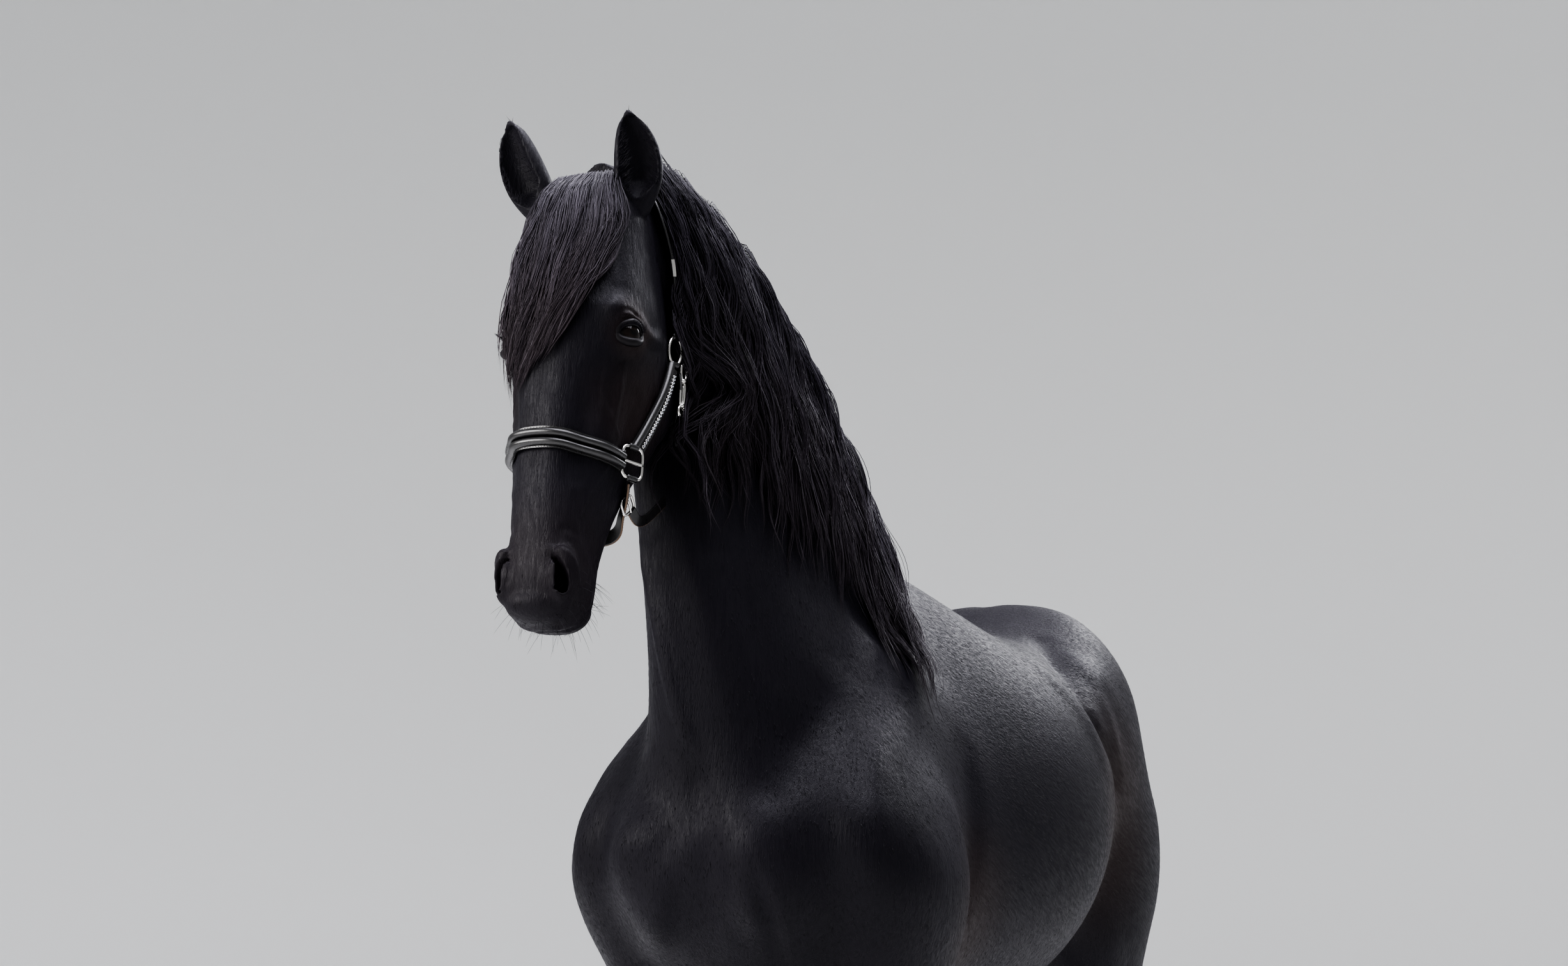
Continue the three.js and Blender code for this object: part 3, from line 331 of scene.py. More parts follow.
def eye_place(side):
    """Middle of an eye, and the directions out of it, up and along the face."""
    centre = head_point(side * EYE_AT[0], *EYE_AT[1:])
    out = unit(LATERAL * side * 0.93 + FORWARD * 0.36)
    up = unit(-DOWN + out * np.dot(DOWN, out))
    return centre, out, up, np.cross(up, out)


def lid_direction(side, a, more):
    """From the middle of the eye, a turn a round its opening and some degrees outside it."""
    _, out, up, along = eye_place(side)
    h = math.radians((OPEN_ASIDE + more) * math.cos(a))
    high = OPEN_UP if math.sin(a) > 0 else OPEN_DOWN
    v = math.radians((high + more) * math.sin(a)) + 0.12 * side * h
    return out * math.cos(h) * math.cos(v) + along * math.sin(h) * math.cos(v) + up * math.sin(v)


def skull_form(inset):
    rings = []
    for down, front, back, width, share, p, q in rows_between(SKULL, 6):
        depth = back - front
        centre = head_point(0, -front - depth * share, down)
        rings.append(rounded_ring(centre, LATERAL, FORWARD, width - inset, depth * share - inset,
                                  depth * (1 - share) - inset, 64, p, q))
    return loft(rings)


def head_forms():
    forms = [skull_form(FACE_COAT)]
    for side in (1, -1):
        centre, out, up, along = eye_place(side)
        forms.append(ball_form(centre, X, Z, [EYE_RADIUS + LID] * 3, 32))
        forms.append(ball_form(centre - out * 7, along, up, [41, 33, 26], 32))
        forms.append(ball_form(centre + up * 16 - out * 3, along, up, [38, 12, 20]))
        for (a, b, c), radii, n in SIDE_FORMS:
            forms.append(ball_form(head_point(side * a, b, c), LATERAL, FORWARD, radii, n))
    forms.append(ball_form(head_point(0, -38, 388), LATERAL, FORWARD, [48, 37, 29]))
    forms.append(ball_form(head_point(0, -100, 386), LATERAL, FORWARD, [41, 29, 31]))
    return forms


# %% Ears and what is cut from the head
EARS = {
    1: ([64, -104, -176], [68, -56, -316], 0.6, 1.0),
    -1: ([-70, -96, -178], [-121, -46, -322], 0.36, 1.1),
}
EAR_WIDTHS = [22, 30, 35, 35, 31, 22, 5]
EAR_BOW = 11  # how far an ear bends outwards


def ear_frame(side):
    """Root and tip of an ear, its three directions and its breadth."""
    root, tip, turned, broad = EARS[side]
    root, tip = head_point(*root), head_point(*tip)
    rise = unit(tip - root)
    across = unit(np.cross(rise, unit(FORWARD + LATERAL * side * turned)))
    return root, tip, rise, across, unit(np.cross(across, rise)), broad


def ear_middle(side, share):
    """The middle of an ear at a share of its height."""
    root, tip = ear_frame(side)[:2]
    return root + (tip - root) * share + LATERAL * side * EAR_BOW * math.sin(math.pi * share)


def ear_forms(side):
    """The leaf of an ear and the hollow of its cup."""
    _, _, _, across, facing, broad = ear_frame(side)
    leaf, cup = [], []
    widths = rows_between([[w * broad] for w in EAR_WIDTHS], 5)[:, 0]
    for k, w in enumerate(widths):
        t = k / (len(widths) - 1)
        c = ear_middle(side, t)
        leaf.append(rounded_ring(c, across, facing, w - 1, w * 0.55 - 1, w * 0.75 - 1, 40))
        if 0.12 < t < 0.95:
            slim = min(1, (t - 0.06) / 0.26)
            cup.append(rounded_ring(c + facing * w * (0.62 + 0.35 * (1 - slim)), across, facing,
                                    w * 0.8 * slim, w * 0.72, w * 1.02 * slim, 36))
    return loft(leaf), loft(cup)


def head_cuts():
    cuts = []
    for side in (1, -1):
        centre = eye_place(side)[0]
        cuts.append(ball_form(centre, X, Z, [EYE_RADIUS + 0.4] * 3, 32))
        turns = np.linspace(0, 2 * np.pi, 40, endpoint=False)
        opening = np.array([lid_direction(side, a, 7) for a in turns])
        cuts.append(loft([centre + r * opening for r in (12, 30, 60)]))
        rim = unit(LATERAL - FORWARD * side * 0.85)
        for lateral, forward, down, wide in ((34, -10, 330, 3.0), (37, -11, 338, 4.6), (40, -13, 346, 6.4),
                                             (42, -15, 354, 8.4), (42, -17, 362, 10.2), (41, -19, 369, 10.0)):
            cuts.append(ball_form(head_point(side * lateral, forward, down), rim,
                                  unit(DOWN + LATERAL * side * 0.2), [wide, wide + 3, 30], 24))
        cuts.append(ear_forms(side)[1])
    return cuts


# %% [markdown]
# ## One skin
# The slices overlap, and the animal's skin doesn't. Blender's voxel remesh wraps one even net
# over everything. An even net fine enough for an eyelid would be far too heavy for a belly, so
# space is first stretched round the head, remeshed, and let back: the net is then finest there.

# %% Mesh helpers
def mesh_object(name, points, faces):
    mesh = bpy.data.meshes.new(name)
    mesh.from_pydata([tuple(p) for p in points], [], [tuple(int(i) for i in f) for f in faces])
    return in_scene(name, mesh)


def smoothed(obj):
    obj.data.polygons.foreach_set("use_smooth", np.ones(len(obj.data.polygons), dtype=bool))
    return obj


def give_values(mesh, key, values):
    """A number at each point of a mesh, for its finish to read."""
    made = mesh.attributes.new(key, "FLOAT", "POINT")
    made.data.foreach_set("value", values.astype(np.float32))


def distance(places, spot):
    return np.linalg.norm(places - spot, axis=-1)


def values_of(items, key, each=1, kind=float):
    """A number, or a row of numbers, from each item of a mesh."""
    found = np.empty(len(items) * each, dtype=kind)
    items.foreach_get(key, found)
    return found.reshape(-1, each) if each > 1 else found


def points_of(obj):
    return values_of(obj.data.vertices, "co", 3)


def set_points(obj, points):
    obj.data.vertices.foreach_set("co", np.ascontiguousarray(points, dtype=np.float32).ravel())
    obj.data.update()


def joined_form(name, forms):
    points, faces, base = [], [], 0
    for p, f in forms:
        points.append(p)
        faces += [[i + base for i in face] for face in f]
        base += len(p)
    return mesh_object(name, place(np.vstack(points)), faces)


def apply_modifiers(obj):
    found = bpy.data.meshes.new_from_object(obj.evaluated_get(bpy.context.evaluated_depsgraph_get()))
    obj.modifiers.clear()
    old, obj.data = obj.data, found
    bpy.data.meshes.remove(old)


def remeshed(obj, size):
    step = obj.modifiers.new("net", "REMESH")
    step.mode = "VOXEL"
    step.voxel_size = size
    apply_modifiers(obj)


# %% Stretch space round the head and let it back
HEAD_MIDDLE = place(head_point(0, -90, 50))
STRETCH = 4.0
FAR_STRETCH = 0.75
HEAD_REACH, HEAD_FADE = 0.34, 0.22  # the net is finest within the one and coarsens over the other
radius = np.linspace(0, 4, 4001)
fade = np.clip((radius - HEAD_REACH) / HEAD_FADE, 0, 1)
rate = STRETCH + (FAR_STRETCH - STRETCH) * fade * fade * (3 - 2 * fade)
stretched = np.concatenate([[0], np.cumsum((rate[1:] + rate[:-1]) / 2 * (radius[1] - radius[0]))])


def warped(points, back=False):
    away = points - HEAD_MIDDLE
    r = np.linalg.norm(away, axis=1)
    new = np.interp(r, stretched, radius) if back else np.interp(r, radius, stretched)
    return HEAD_MIDDLE + away * (new / np.maximum(r, 1e-9))[:, None]


# %% Cut the head, join it to the body and wrap them
# The net of the skin in stretched space, and the nets of the head and of what is cut from it.
NET, HEAD_NET, CUTTER_NET = 0.013, 0.0024, 0.0014
head = joined_form("head_form", head_forms() + [ear_forms(1)[0], ear_forms(-1)[0]])
remeshed(head, HEAD_NET)
cutter = joined_form("cutter", head_cuts())
remeshed(cutter, CUTTER_NET)
step = head.modifiers.new("cut", "BOOLEAN")
step.operation = "DIFFERENCE"
step.solver = "MANIFOLD"
step.object = cutter
apply_modifiers(head)
bpy.data.objects.remove(cutter)
body_forms = [trunk_form(COAT_DEPTH), neck_form(COAT_DEPTH)]
for side in (1, -1):
    body_forms.append(breast_form(side, COAT_DEPTH))
    body_forms += [leg_form(FORE_LEG, side, COAT_DEPTH), leg_form(HIND_LEG, side, COAT_DEPTH)]
skin = joined_form("skin", body_forms)
with bpy.context.temp_override(active_object=skin, selected_editable_objects=[skin, head]):
    bpy.ops.object.join()
set_points(skin, warped(points_of(skin)))
remeshed(skin, NET)
set_points(skin, warped(points_of(skin), back=True))
print("skin:", len(skin.data.vertices), "points,", len(skin.data.polygons), "faces")

# %% [markdown]
# ## Sculpting
# Where two forms met there is now a hard crease. Moving each point a little towards the middle of
# its neighbours softens it; done many times on the body and few times on the face, it leaves one
# smooth hide. After that, strokes raise or press the skin along a line, as a thumb does in clay:
# muscles, bone edges, veins and folds.

# %% Relax the creases
def relaxed(points, pairs, weight, times):
    a, b = pairs.T
    n = len(points)
    count = np.bincount(a, minlength=n) + np.bincount(b, minlength=n)
    for _ in range(times):
        mean = np.empty_like(points)
        for axis in range(3):
            total = np.bincount(a, points[b, axis], n) + np.bincount(b, points[a, axis], n)
            mean[:, axis] = total / count
        points = points + (mean - points) * weight[:, None]
    return points


def eased(values, low, high):
    t = np.clip((values - low) / (high - low), 0, 1)
    return t * t * (3 - 2 * t)


pairs = values_of(skin.data.edges, "vertices", 2, np.int64)
points = points_of(skin)
from_head = distance(points, HEAD_MIDDLE)
on_body = eased(from_head, 0.36, 0.50)
points = relaxed(points, pairs, 0.5 * (0.35 + 0.65 * on_body), 3)
calm = on_body * (0.35 + 0.65 * eased(points[:, 2], 0.75, 1.0))
points = relaxed(points, pairs, 0.6 * calm, 22)
behind, high = points[:, 1] + BEHIND_BREAST, points[:, 2]
base_run = unit([0.465, 0.540])
from_base = np.abs(base_run[1] * behind - base_run[0] * (high - 1.185))
neck_base = (1 - eased(from_base, 0.05, 0.17)) * eased(high, 1.15, 1.25)


def near_joint(back, up, full, end):
    """From 1 at the top of a limb, 0.2 m beside the middle, to 0 farther off."""
    away = np.stack([np.abs(points[:, 0]) - 0.2, behind - back, high - up], 1)
    return 1 - eased(np.linalg.norm(away, axis=1), full, end)


arm_top = near_joint(0.30, 1.38, 0.10, 0.22)
hip_top = near_joint(1.33, 1.40, 0.12, 0.24)
creased = np.maximum(neck_base, np.maximum(arm_top, hip_top))
points = relaxed(points, pairs, 0.65 * on_body * creased, 90)
set_points(skin, points)
print("softened", int((on_body > 0.5).sum()), "points of the body")


# %% Strokes along a line
def head_line(side, *stops):
    return place([head_point(side * a, b, c) for a, b, c in stops])


def body_line(side, *stops):
    return place([[side * a, b, c] for a, b, c in stops])


def stroke(points, normals, line, reach, height):
    """Moves the points near a line along their normals. Lengths are in millimetres."""
    if len(line) == 2:
        line = np.linspace(line[0], line[-1], 12)
    elif len(line) <= 12:
        line = rows_between(line, 8)
    reach = reach / 1000
    inside = (points > line.min(0) - reach) & (points < line.max(0) + reach)
    near = np.where(np.all(inside, axis=1))[0]
    if not len(near):
        return
    best = np.full(len(near), 1e9)
    for a, b in zip(line[:-1], line[1:]):
        run = b - a
        t = np.clip((points[near] - a) @ run / max(run @ run, 1e-12), 0, 1)
        best = np.minimum(best, np.linalg.norm(points[near] - a - t[:, None] * run, axis=1))
    ends = np.minimum(distance(points[near], line[0]), distance(points[near], line[-1]))
    soft = 0.35 + 0.65 * np.clip(ends / (2 * reach), 0, 1)
    fall = np.clip(1 - (best / reach) ** 2, 0, 1) ** 2
    points[near] += normals[near] * (fall * soft * height / 1000)[:, None]


def normals_of(obj):
    return values_of(obj.data.vertices, "normal", 3, np.float32).astype(float)


def seen_line(tree, *pixels):
    """Points of the skin under some pixels of the photograph."""
    found = []
    for px, py in pixels:
        hit = tree.ray_cast(eye_point, ray_through(px, py))[0]
        if hit is not None:
            found.append(hit)
    return np.array(found)


# %% Muscles and hollows of the body
def tree_of(obj):
    return BVHTree.FromObject(obj, bpy.context.evaluated_depsgraph_get())


# Strokes: a line as sideways, behind the breast and up; then its reach and its height.
BODY_STROKES = [
    ([(120, 470, 1560), (200, 330, 1400), (205, 150, 1215)], 60, 7),
    ([(150, 300, 1560), (170, 150, 1380), (150, 30, 1230)], 46, -7),
    ([(262, 440, 1400), (262, 420, 1220), (235, 400, 1040)], 42, -9),
    ([(250, 330, 1300), (250, 320, 1150), (230, 330, 1040)], 75, 8),
    ([(215, 405, 985), (200, 400, 940)], 36, 9),
    ([(286, 1110, 1330), (280, 1120, 1250), (270, 1130, 1160)], 105, -15),
    ([(238, 1085, 1460), (262, 1120, 1470)], 52, 14),
    ([(255, 1130, 1440), (262, 1260, 1330), (262, 1400, 1300)], 40, 5),
    ([(120, 1500, 1500), (190, 1520, 1320), (205, 1500, 1120), (180, 1470, 960)], 34, -9),
    ([(60, 1560, 1400), (110, 1590, 1220), (130, 1560, 1050)], 38, 6),
    ([(250, 1150, 1010), (255, 1190, 960), (235, 1220, 900)], 62, 9),
    ([(225, 1060, 940), (200, 980, 880)], 55, 5),
    ([(160, 300, 560), (190, 262, 548)], 22, 3),
    ([(190, 298, 430), (185, 312, 380), (182, 314, 300)], 10, -4.5),
    ([(110, 298, 430), (112, 312, 380), (114, 314, 300)], 10, -4.5),
    ([(186, 1518, 470), (182, 1536, 380), (182, 1540, 300)], 11, -5),
    ([(102, 1518, 470), (106, 1536, 380), (106, 1540, 300)], 11, -5),
    ([(190, 1530, 690), (182, 1500, 760), (185, 1470, 820)], 20, -7),
    ([(105, 1530, 690), (112, 1500, 760), (112, 1470, 820)], 20, -7),
    ([(150, 1580, 640), (150, 1585, 600)], 26, 6),
    ([(225, 180, 1010), (215, 190, 930), (190, 200, 850)], 30, -5),
    ([(120, 160, 985), (128, 190, 900)], 30, -5),
]
normals = normals_of(skin)
for line, reach, height in BODY_STROKES:
    for side in (1, -1):
        stroke(points, normals, body_line(side, *line), reach, height)
RIBS = range(560, 1060, 62)
for y in RIBS:
    for side in (1, -1):
        rib = [(330, y, 1330), (345, y - 10, 1180), (330, y + 10, 1040)]
        stroke(points, normals, body_line(side, *rib), 24, -2.2)
stroke(points, normals, body_line(1, (0, 1200, 1612), (0, 1350, 1600), (0, 1480, 1520)), 34, -7)
stroke(points, normals, body_line(1, (0, 640, 1590), (0, 900, 1540), (0, 1100, 1575)), 26, -4)
set_points(skin, points)
print(len(BODY_STROKES), "strokes and", len(RIBS), "ribs on each side of the body")

# %% What the photograph shows of breast and neck
tree = tree_of(skin)
normals = normals_of(skin)
# Strokes as pixels of the photograph; then reach and height.
SEEN_STROKES = [
    ([(1004, 850), (1022, 955), (1038, 1032), (1062, 1122), (1086, 1172)], 17, 6),
    ([(1040, 860), (1064, 960), (1086, 1060), (1110, 1140)], 36, -6),
    ([(1086, 1180), (1091, 1225), (1096, 1276)], 30, -9),
    ([(1088, 1296), (1060, 1355), (1036, 1420), (1026, 1490)], 34, 7),
    ([(1120, 1330), (1110, 1400), (1100, 1480)], 34, -5),
    ([(1010, 1330), (985, 1400), (975, 1480)], 32, -4),
    ([(1020, 1300), (965, 1330), (935, 1400)], 40, 6),
    ([(1180, 1200), (1150, 1260), (1160, 1320)], 60, 6),
    ([(1270, 1090), (1240, 1160), (1210, 1230)], 46, -7),
    ([(1215, 1500), (1205, 1440), (1180, 1380)], 20, -9),
    ([(1376, 1150), (1370, 1230), (1366, 1330)], 26, 5),
    ([(1120, 900), (1150, 1000), (1180, 1090)], 40, 4),
    ([(1632, 1005), (1655, 1040), (1682, 1075), (1710, 1120), (1735, 1170), (1748, 1220)], 40, -17),
    ([(1580, 1005), (1625, 1045), (1667, 1085), (1700, 1130), (1728, 1190)], 44, 8),
    ([(1690, 1035), (1720, 1090), (1742, 1150), (1756, 1210)], 40, 8),
]
SHOULDER_PIXEL = 1300  # strokes from here on are on the shoulder, and the other side gets them too
for line, reach, height in SEEN_STROKES:
    found = seen_line(tree, *line)
    stroke(points, normals, found, reach, height)
    if line[0][0] > SHOULDER_PIXEL:
        stroke(points, normals, found * [-1, 1, 1], reach, height)
points = relaxed(points, pairs, 0.5 * on_body, 5)
points = relaxed(points, pairs, 0.6 * on_body * hip_top, 28)
set_points(skin, points)
print(len(SEEN_STROKES), "strokes seen in the photograph")

# %% Bones, veins and folds of the head
# Strokes in the frame of the head: sideways, forward and down; then reach and height.
HEAD_STROKES = [
    ([(60, -20, -70), (66, -30, -40)], 30, -9),
    ([(97, -78, -8), (96, -112, 4), (90, -150, -6)], 17, 6),
    ([(84, -66, 62), (80, -66, 105), (72, -64, 152)], 11, 4),
    ([(74, -100, 95), (68, -100, 140), (62, -88, 172)], 22, -6),
    ([(60, -30, 80), (52, -30, 140), (46, -30, 215)], 26, -6.5),
    ([(27, 3, 30), (22, 3, 140), (18, 3, 265)], 22, 1.6),
    ([(66, -118, 205), (71, -96, 168), (70, -62, 132), (66, -44, 100), (70, -46, 62)], 5.5, 1.5),
    ([(71, -96, 168), (60, -66, 200), (52, -46, 240), (46, -40, 280)], 5, 1.3),
    ([(66, -46, 116), (50, -26, 150), (38, -12, 196)], 4.5, 1.0),
    ([(86, -150, 60), (80, -172, 96), (72, -160, 128)], 9, 2.0),
    ([(46, -40, 250), (50, -60, 300), (48, -82, 330)], 20, -4),
    ([(26, 2, 322), (44, -4, 318), (56, -16, 330), (60, -30, 352), (57, -38, 378)], 10, 4.0),
    ([(24, -2, 336), (25, -6, 360), (32, -14, 386)], 8, 2.5),
    ([(52, -88, 326), (56, -108, 330), (52, -122, 340)], 5, -1.6),
    ([(54, -80, 312), (58, -100, 314), (55, -118, 322)], 5, -1.4),
    ([(40, -108, 360), (30, -118, 385), (0, -122, 402)], 10, -2.0),
    ([(0, -64, 424), (22, -68, 418), (40, -80, 396), (50, -90, 370), (55, -100, 346)], 6, -4.5),
    ([(0, -50, 424), (22, -54, 416), (42, -66, 394), (52, -76, 368)], 7, 1.6),
    ([(46, -2, 300), (50, -14, 290), (52, -40, 296)], 9, -1.6),
    ([(36, 0, 330), (33, -6, 352), (35, -14, 380)], 6, 2.2),
]
# Folds round an eye: height over its middle, how far the ends bend down, reach and height.
EYE_FOLDS = [(20, 8, 5, -1.6), (25, 9, 6, 2.0), (31, 10, 6, -2.0), (-21, -8, 6, -1.5)]
near_brow = np.zeros(len(points))
for side in (1, -1):
    from_eye = distance(points, place(eye_place(side)[0]))
    round_eye = eased(from_eye, 0.023, 0.030) * (1 - eased(from_eye, 0.055, 0.075))
    near_brow = np.maximum(near_brow, round_eye)
points = relaxed(points, pairs, 0.6 * near_brow, 70)
set_points(skin, points)


def snapped(line):
    """The nearest places of the skin."""
    return np.array([tree.find_nearest(Vector(p))[0] for p in rows_between(line, 8)])


tree = tree_of(skin)
normals = normals_of(skin)
for line, reach, height in HEAD_STROKES:
    for side in (1, -1):
        stroke(points, normals, snapped(head_line(side, *line)), reach, height)
for side in (1, -1):
    centre, out, up, along = eye_place(side)
    for high, bow, reach, height in EYE_FOLDS:
        arc = []
        for s in np.linspace(-1, 1, 7):
            arc.append(centre + out * (24 - 7 * s * s) + up * (high - bow * s * s) + along * 27 * s)
        stroke(points, normals, snapped(place(arc)), reach, height)
set_points(skin, points)
print(len(HEAD_STROKES), "strokes on each side of the head")

# %% [markdown]
# ## Hair
# Mane, forelock, tail and the feather on the feet are long hair. A lock is a bundle that shares one
# path, so each starts as a guide line over the skin, and a few dozen thin tapered strands follow
# it, fanned out at the root and drawn together at the tip. Every strand is a closed three-sided
# sliver, because that is a real surface that any program can draw.

# %% An unwrap of the skin's shape
SKIN_BOX = points.min(0), points.max(0)


MARGIN = 0.03  # free room round each side of the unwrap


def bake_place(places, facing):
    """Where a point of the skin lies on its unwrap: six sides, each for the left and right half."""
    share = (places - SKIN_BOX[0]) / (SKIN_BOX[1] - SKIN_BOX[0])
    axis = np.abs(facing).argmax(1)
    rows = np.arange(len(places))
    cell = axis * 4 + (facing[rows, axis] > 0) * 2 + (places[:, 0] > 0)
    first = np.where(axis == 0, 1, 0)
    second = np.where(axis == 2, 1, 2)
    uv = np.stack([share[rows, first], share[rows, second]], 1) * (1 - 2 * MARGIN) + MARGIN
    return (uv + np.stack([cell % 4, cell // 4], 1)) / np.array([4, 3])


# %% Slivers from paths
def sliver_object(name, paths, across, wide, thick, roots, facing, tone, brown=0.0):
    """Tapered three-sided hairs: paths (hair, point, xyz), the direction across each, and widths."""
    n, k, _ = paths.shape
    run = unit(np.gradient(paths, axis=1))
    across = unit(across - run * np.sum(across * run, axis=2, keepdims=True))
    out = np.cross(run, across)
    out *= np.sign(np.sum(out * facing[:, None, :], axis=2, keepdims=True) + 1e-9)
    w, h = wide[..., None] / 2, thick[..., None] / 2
    ring = np.stack([paths + across * w - out * h, paths + out * h, paths - across * w - out * h], axis=2)
    verts = np.concatenate([ring[:, :-1].reshape(n, -1, 3), paths[:, -1:]], axis=1)
    per = verts.shape[1]
    last = (k - 2) * 3
    quads = np.array(grid_faces(k - 1, 3), dtype=int).reshape(-1, 4)
    tris = np.array([[0, 2, 1]] + [[last + i, last + (i + 1) % 3, per - 1] for i in range(3)])
    flip = np.sum(np.cross(across[:, 0], out[:, 0]) * run[:, 0], axis=1) > 0
    base = (np.arange(n) * per)[:, None, None]
    q = np.where(flip[:, None, None], quads[None, :, ::-1], quads[None]) + base
    t = np.where(flip[:, None, None], tris[None, :, ::-1], tris[None]) + base
    loops = np.concatenate([q.ravel(), t.ravel()])
    starts = np.concatenate([np.arange(q.size // 4) * 4, q.size + np.arange(t.size // 3) * 3])
    mesh = bpy.data.meshes.new(name)
    mesh.vertices.add(n * per)
    mesh.vertices.foreach_set("co", verts.astype(np.float32).ravel())
    mesh.loops.add(len(loops))
    mesh.loops.foreach_set("vertex_index", loops.astype(np.int32))
    mesh.polygons.add(len(starts))
    mesh.polygons.foreach_set("loop_start", starts.astype(np.int32))
    mesh.update(calc_edges=True)
    mesh.validate()
    at = values_of(mesh.loops, "vertex_index", 1, np.int32)
    hair, spot = at // per, at % per
    along = np.where(spot == per - 1, k - 1, spot // 3) / (k - 1)
    aside = np.where(spot == per - 1, 1, spot % 3) / 2
    uv = bake_place(roots, facing)[hair] + 0.003 * (np.stack([aside, along], 1) - 0.5)
    mesh.uv_layers.new(name="OFBake").data.foreach_set("uv", uv.astype(np.float32).ravel())
    steps = np.concatenate([np.repeat(np.arange(k - 1), 3), [k - 1]]) / (k - 1)
    give_values(mesh, "tone", np.repeat(tone, per))
    give_values(mesh, "along", np.tile(steps, n))
    each = np.repeat(brown, per) if np.ndim(brown) else np.tile(steps, n) ** 1.5 * brown
    give_values(mesh, "brown", each)
    print(name, n, "hairs,", int(len(loops) - 2 * len(mesh.polygons)), "triangles")
    return smoothed(in_scene(name, mesh))


def fine_hairs(name, paths, across, wide, tip, ways, tone):
    """Single hairs, as thick as they are wide, that narrow to a share of their width at the tip."""
    paths = np.array(paths)
    n, k, _ = paths.shape
    width = np.full((n, k), wide) * np.linspace(1, tip, k)
    return sliver_object(name, paths, np.tile(across, (n, k, 1)), width, width, paths[:, 0],
                         np.array(ways), tone)


# %% Guides to strands
TURN = 6.28  # in radians, for where a wave starts


def spread_guides(guides, per):
    """More points along each guide, on a smooth curve."""
    n, k, _ = guides.shape
    flat = rows_between(guides.transpose(1, 0, 2).reshape(k, n * 3), per)
    return flat.reshape(-1, n, 3).transpose(1, 0, 2)


def strands_from(name, guides, facing, each, breadth, depth, hair_wide, hair_thick, seed, brown,
                 clump=0.75, curl=0.003, turns=3.0, points_each=14, cut=(0.72, 1.0), flyaway=0.06):
    """Fills the locks round guide lines with strands. Lengths are in metres."""
    rng = np.random.default_rng(seed)
    fine = spread_guides(guides, 6)
    n, k, _ = fine.shape
    t = np.linspace(0, 1, points_each)
    which = np.repeat(np.arange(n), each)
    m = len(which)
    reach = rng.uniform(cut[0], cut[1], m)
    at = t[None, :] * reach[:, None] * (k - 1)
    low = np.minimum(at.astype(int), k - 2)
    part = (at - low)[..., None]
    base = fine[which[:, None], low] * (1 - part) + fine[which[:, None], low + 1] * part
    run = unit(np.gradient(base, axis=1))
    face = facing[which][:, None, :] * np.ones((1, points_each, 1))
    across = unit(np.cross(run, face))
    out = unit(np.cross(across, run))
    a = rng.normal(0, 0.42, m).clip(-1, 1)
    b = rng.uniform(0, 1, m)
    loose = rng.random(m) < flyaway
    draw = 1 - clump * t[None, :] ** 1.3 * np.where(loose, -0.3, 1)[:, None]
    phase = rng.uniform(0, 2 * np.pi, n)[which] + rng.normal(0, 0.5, m)
    from_root = np.minimum(1, t * 3)[None, :]
    wave = np.sin(phase[:, None] + turns * 2 * np.pi * at / (k - 1)) * from_root
    wave2 = np.cos(phase[:, None] * 1.7 + turns * 5.1 * at / (k - 1)) * from_root
    swing = curl * rng.uniform(0.6, 1.5, m)
    side = a[:, None] * breadth * draw + wave * swing[:, None]
    lift = (b[:, None] * depth * draw + wave2 * swing[:, None] * 0.6
            + np.where(loose, depth * 0.5, 0)[:, None] * t)
    paths = base + across * side[..., None] + out * lift[..., None]
    width = hair_wide * rng.uniform(0.6, 1.25, m)
    taper = np.clip(0.55 + 1.8 * t, 0, 1) * (1 - 0.75 * t**3)
    wide = width[:, None] * taper[None, :]
    # Strands differ in tone at random, as real hair does; the hair finish paints the light end of this tone
    # as a sheen.
    tone = rng.normal(0.5, 0.17, n).clip(0, 1)[which] * 0.6 + rng.uniform(0, 0.4, m)
    return sliver_object(name, paths, across, wide, wide * hair_thick / hair_wide, paths[:, 0],
                         facing[which], tone, brown)


# %% [markdown]
# ### The mane
# It grows from the crest, is thrown over to the left side and hangs in wavy locks. A guide leaves
# the crest, turns over it, and then keeps a little off the skin: a ray from the side finds the skin
# under each of its points.

# %% Guides of the mane
tree = tree_of(skin)
DENSE = 1.0  # the share of the strands that is made


def side_of_skin(y, z):
    """How far to the left the skin lies at a place, in millimetres, up to 300."""
    hit = tree.ray_cast(Vector(place([300, y, z])), Vector((-1, 0, 0)))[0]
    return None if hit is None else hit.x * 1000


def crest_at(position):
    """A place on the crest, counted in rows of the neck, and the way up to it from the throat."""
    rows = rows_between(NECK, 16)
    x, fy, fz, cy, cz, _ = rows[min(len(rows) - 1, int(round(position * 16)))]
    crest = np.array([x, cy, cz])
    return crest, unit(crest - np.array([x, fy, fz]))


MANE_FIRST, MANE_LAST = 6.45, 1.15  # rows of the neck between which the mane grows
LONG_LOCK, SHORT_LOCK = 530, 350  # the locks shorten towards the withers
SNAP_MIDDLE = head_point(90, -248, 34)
SNAP_CLEAR = 80  # the mane parts round the snap


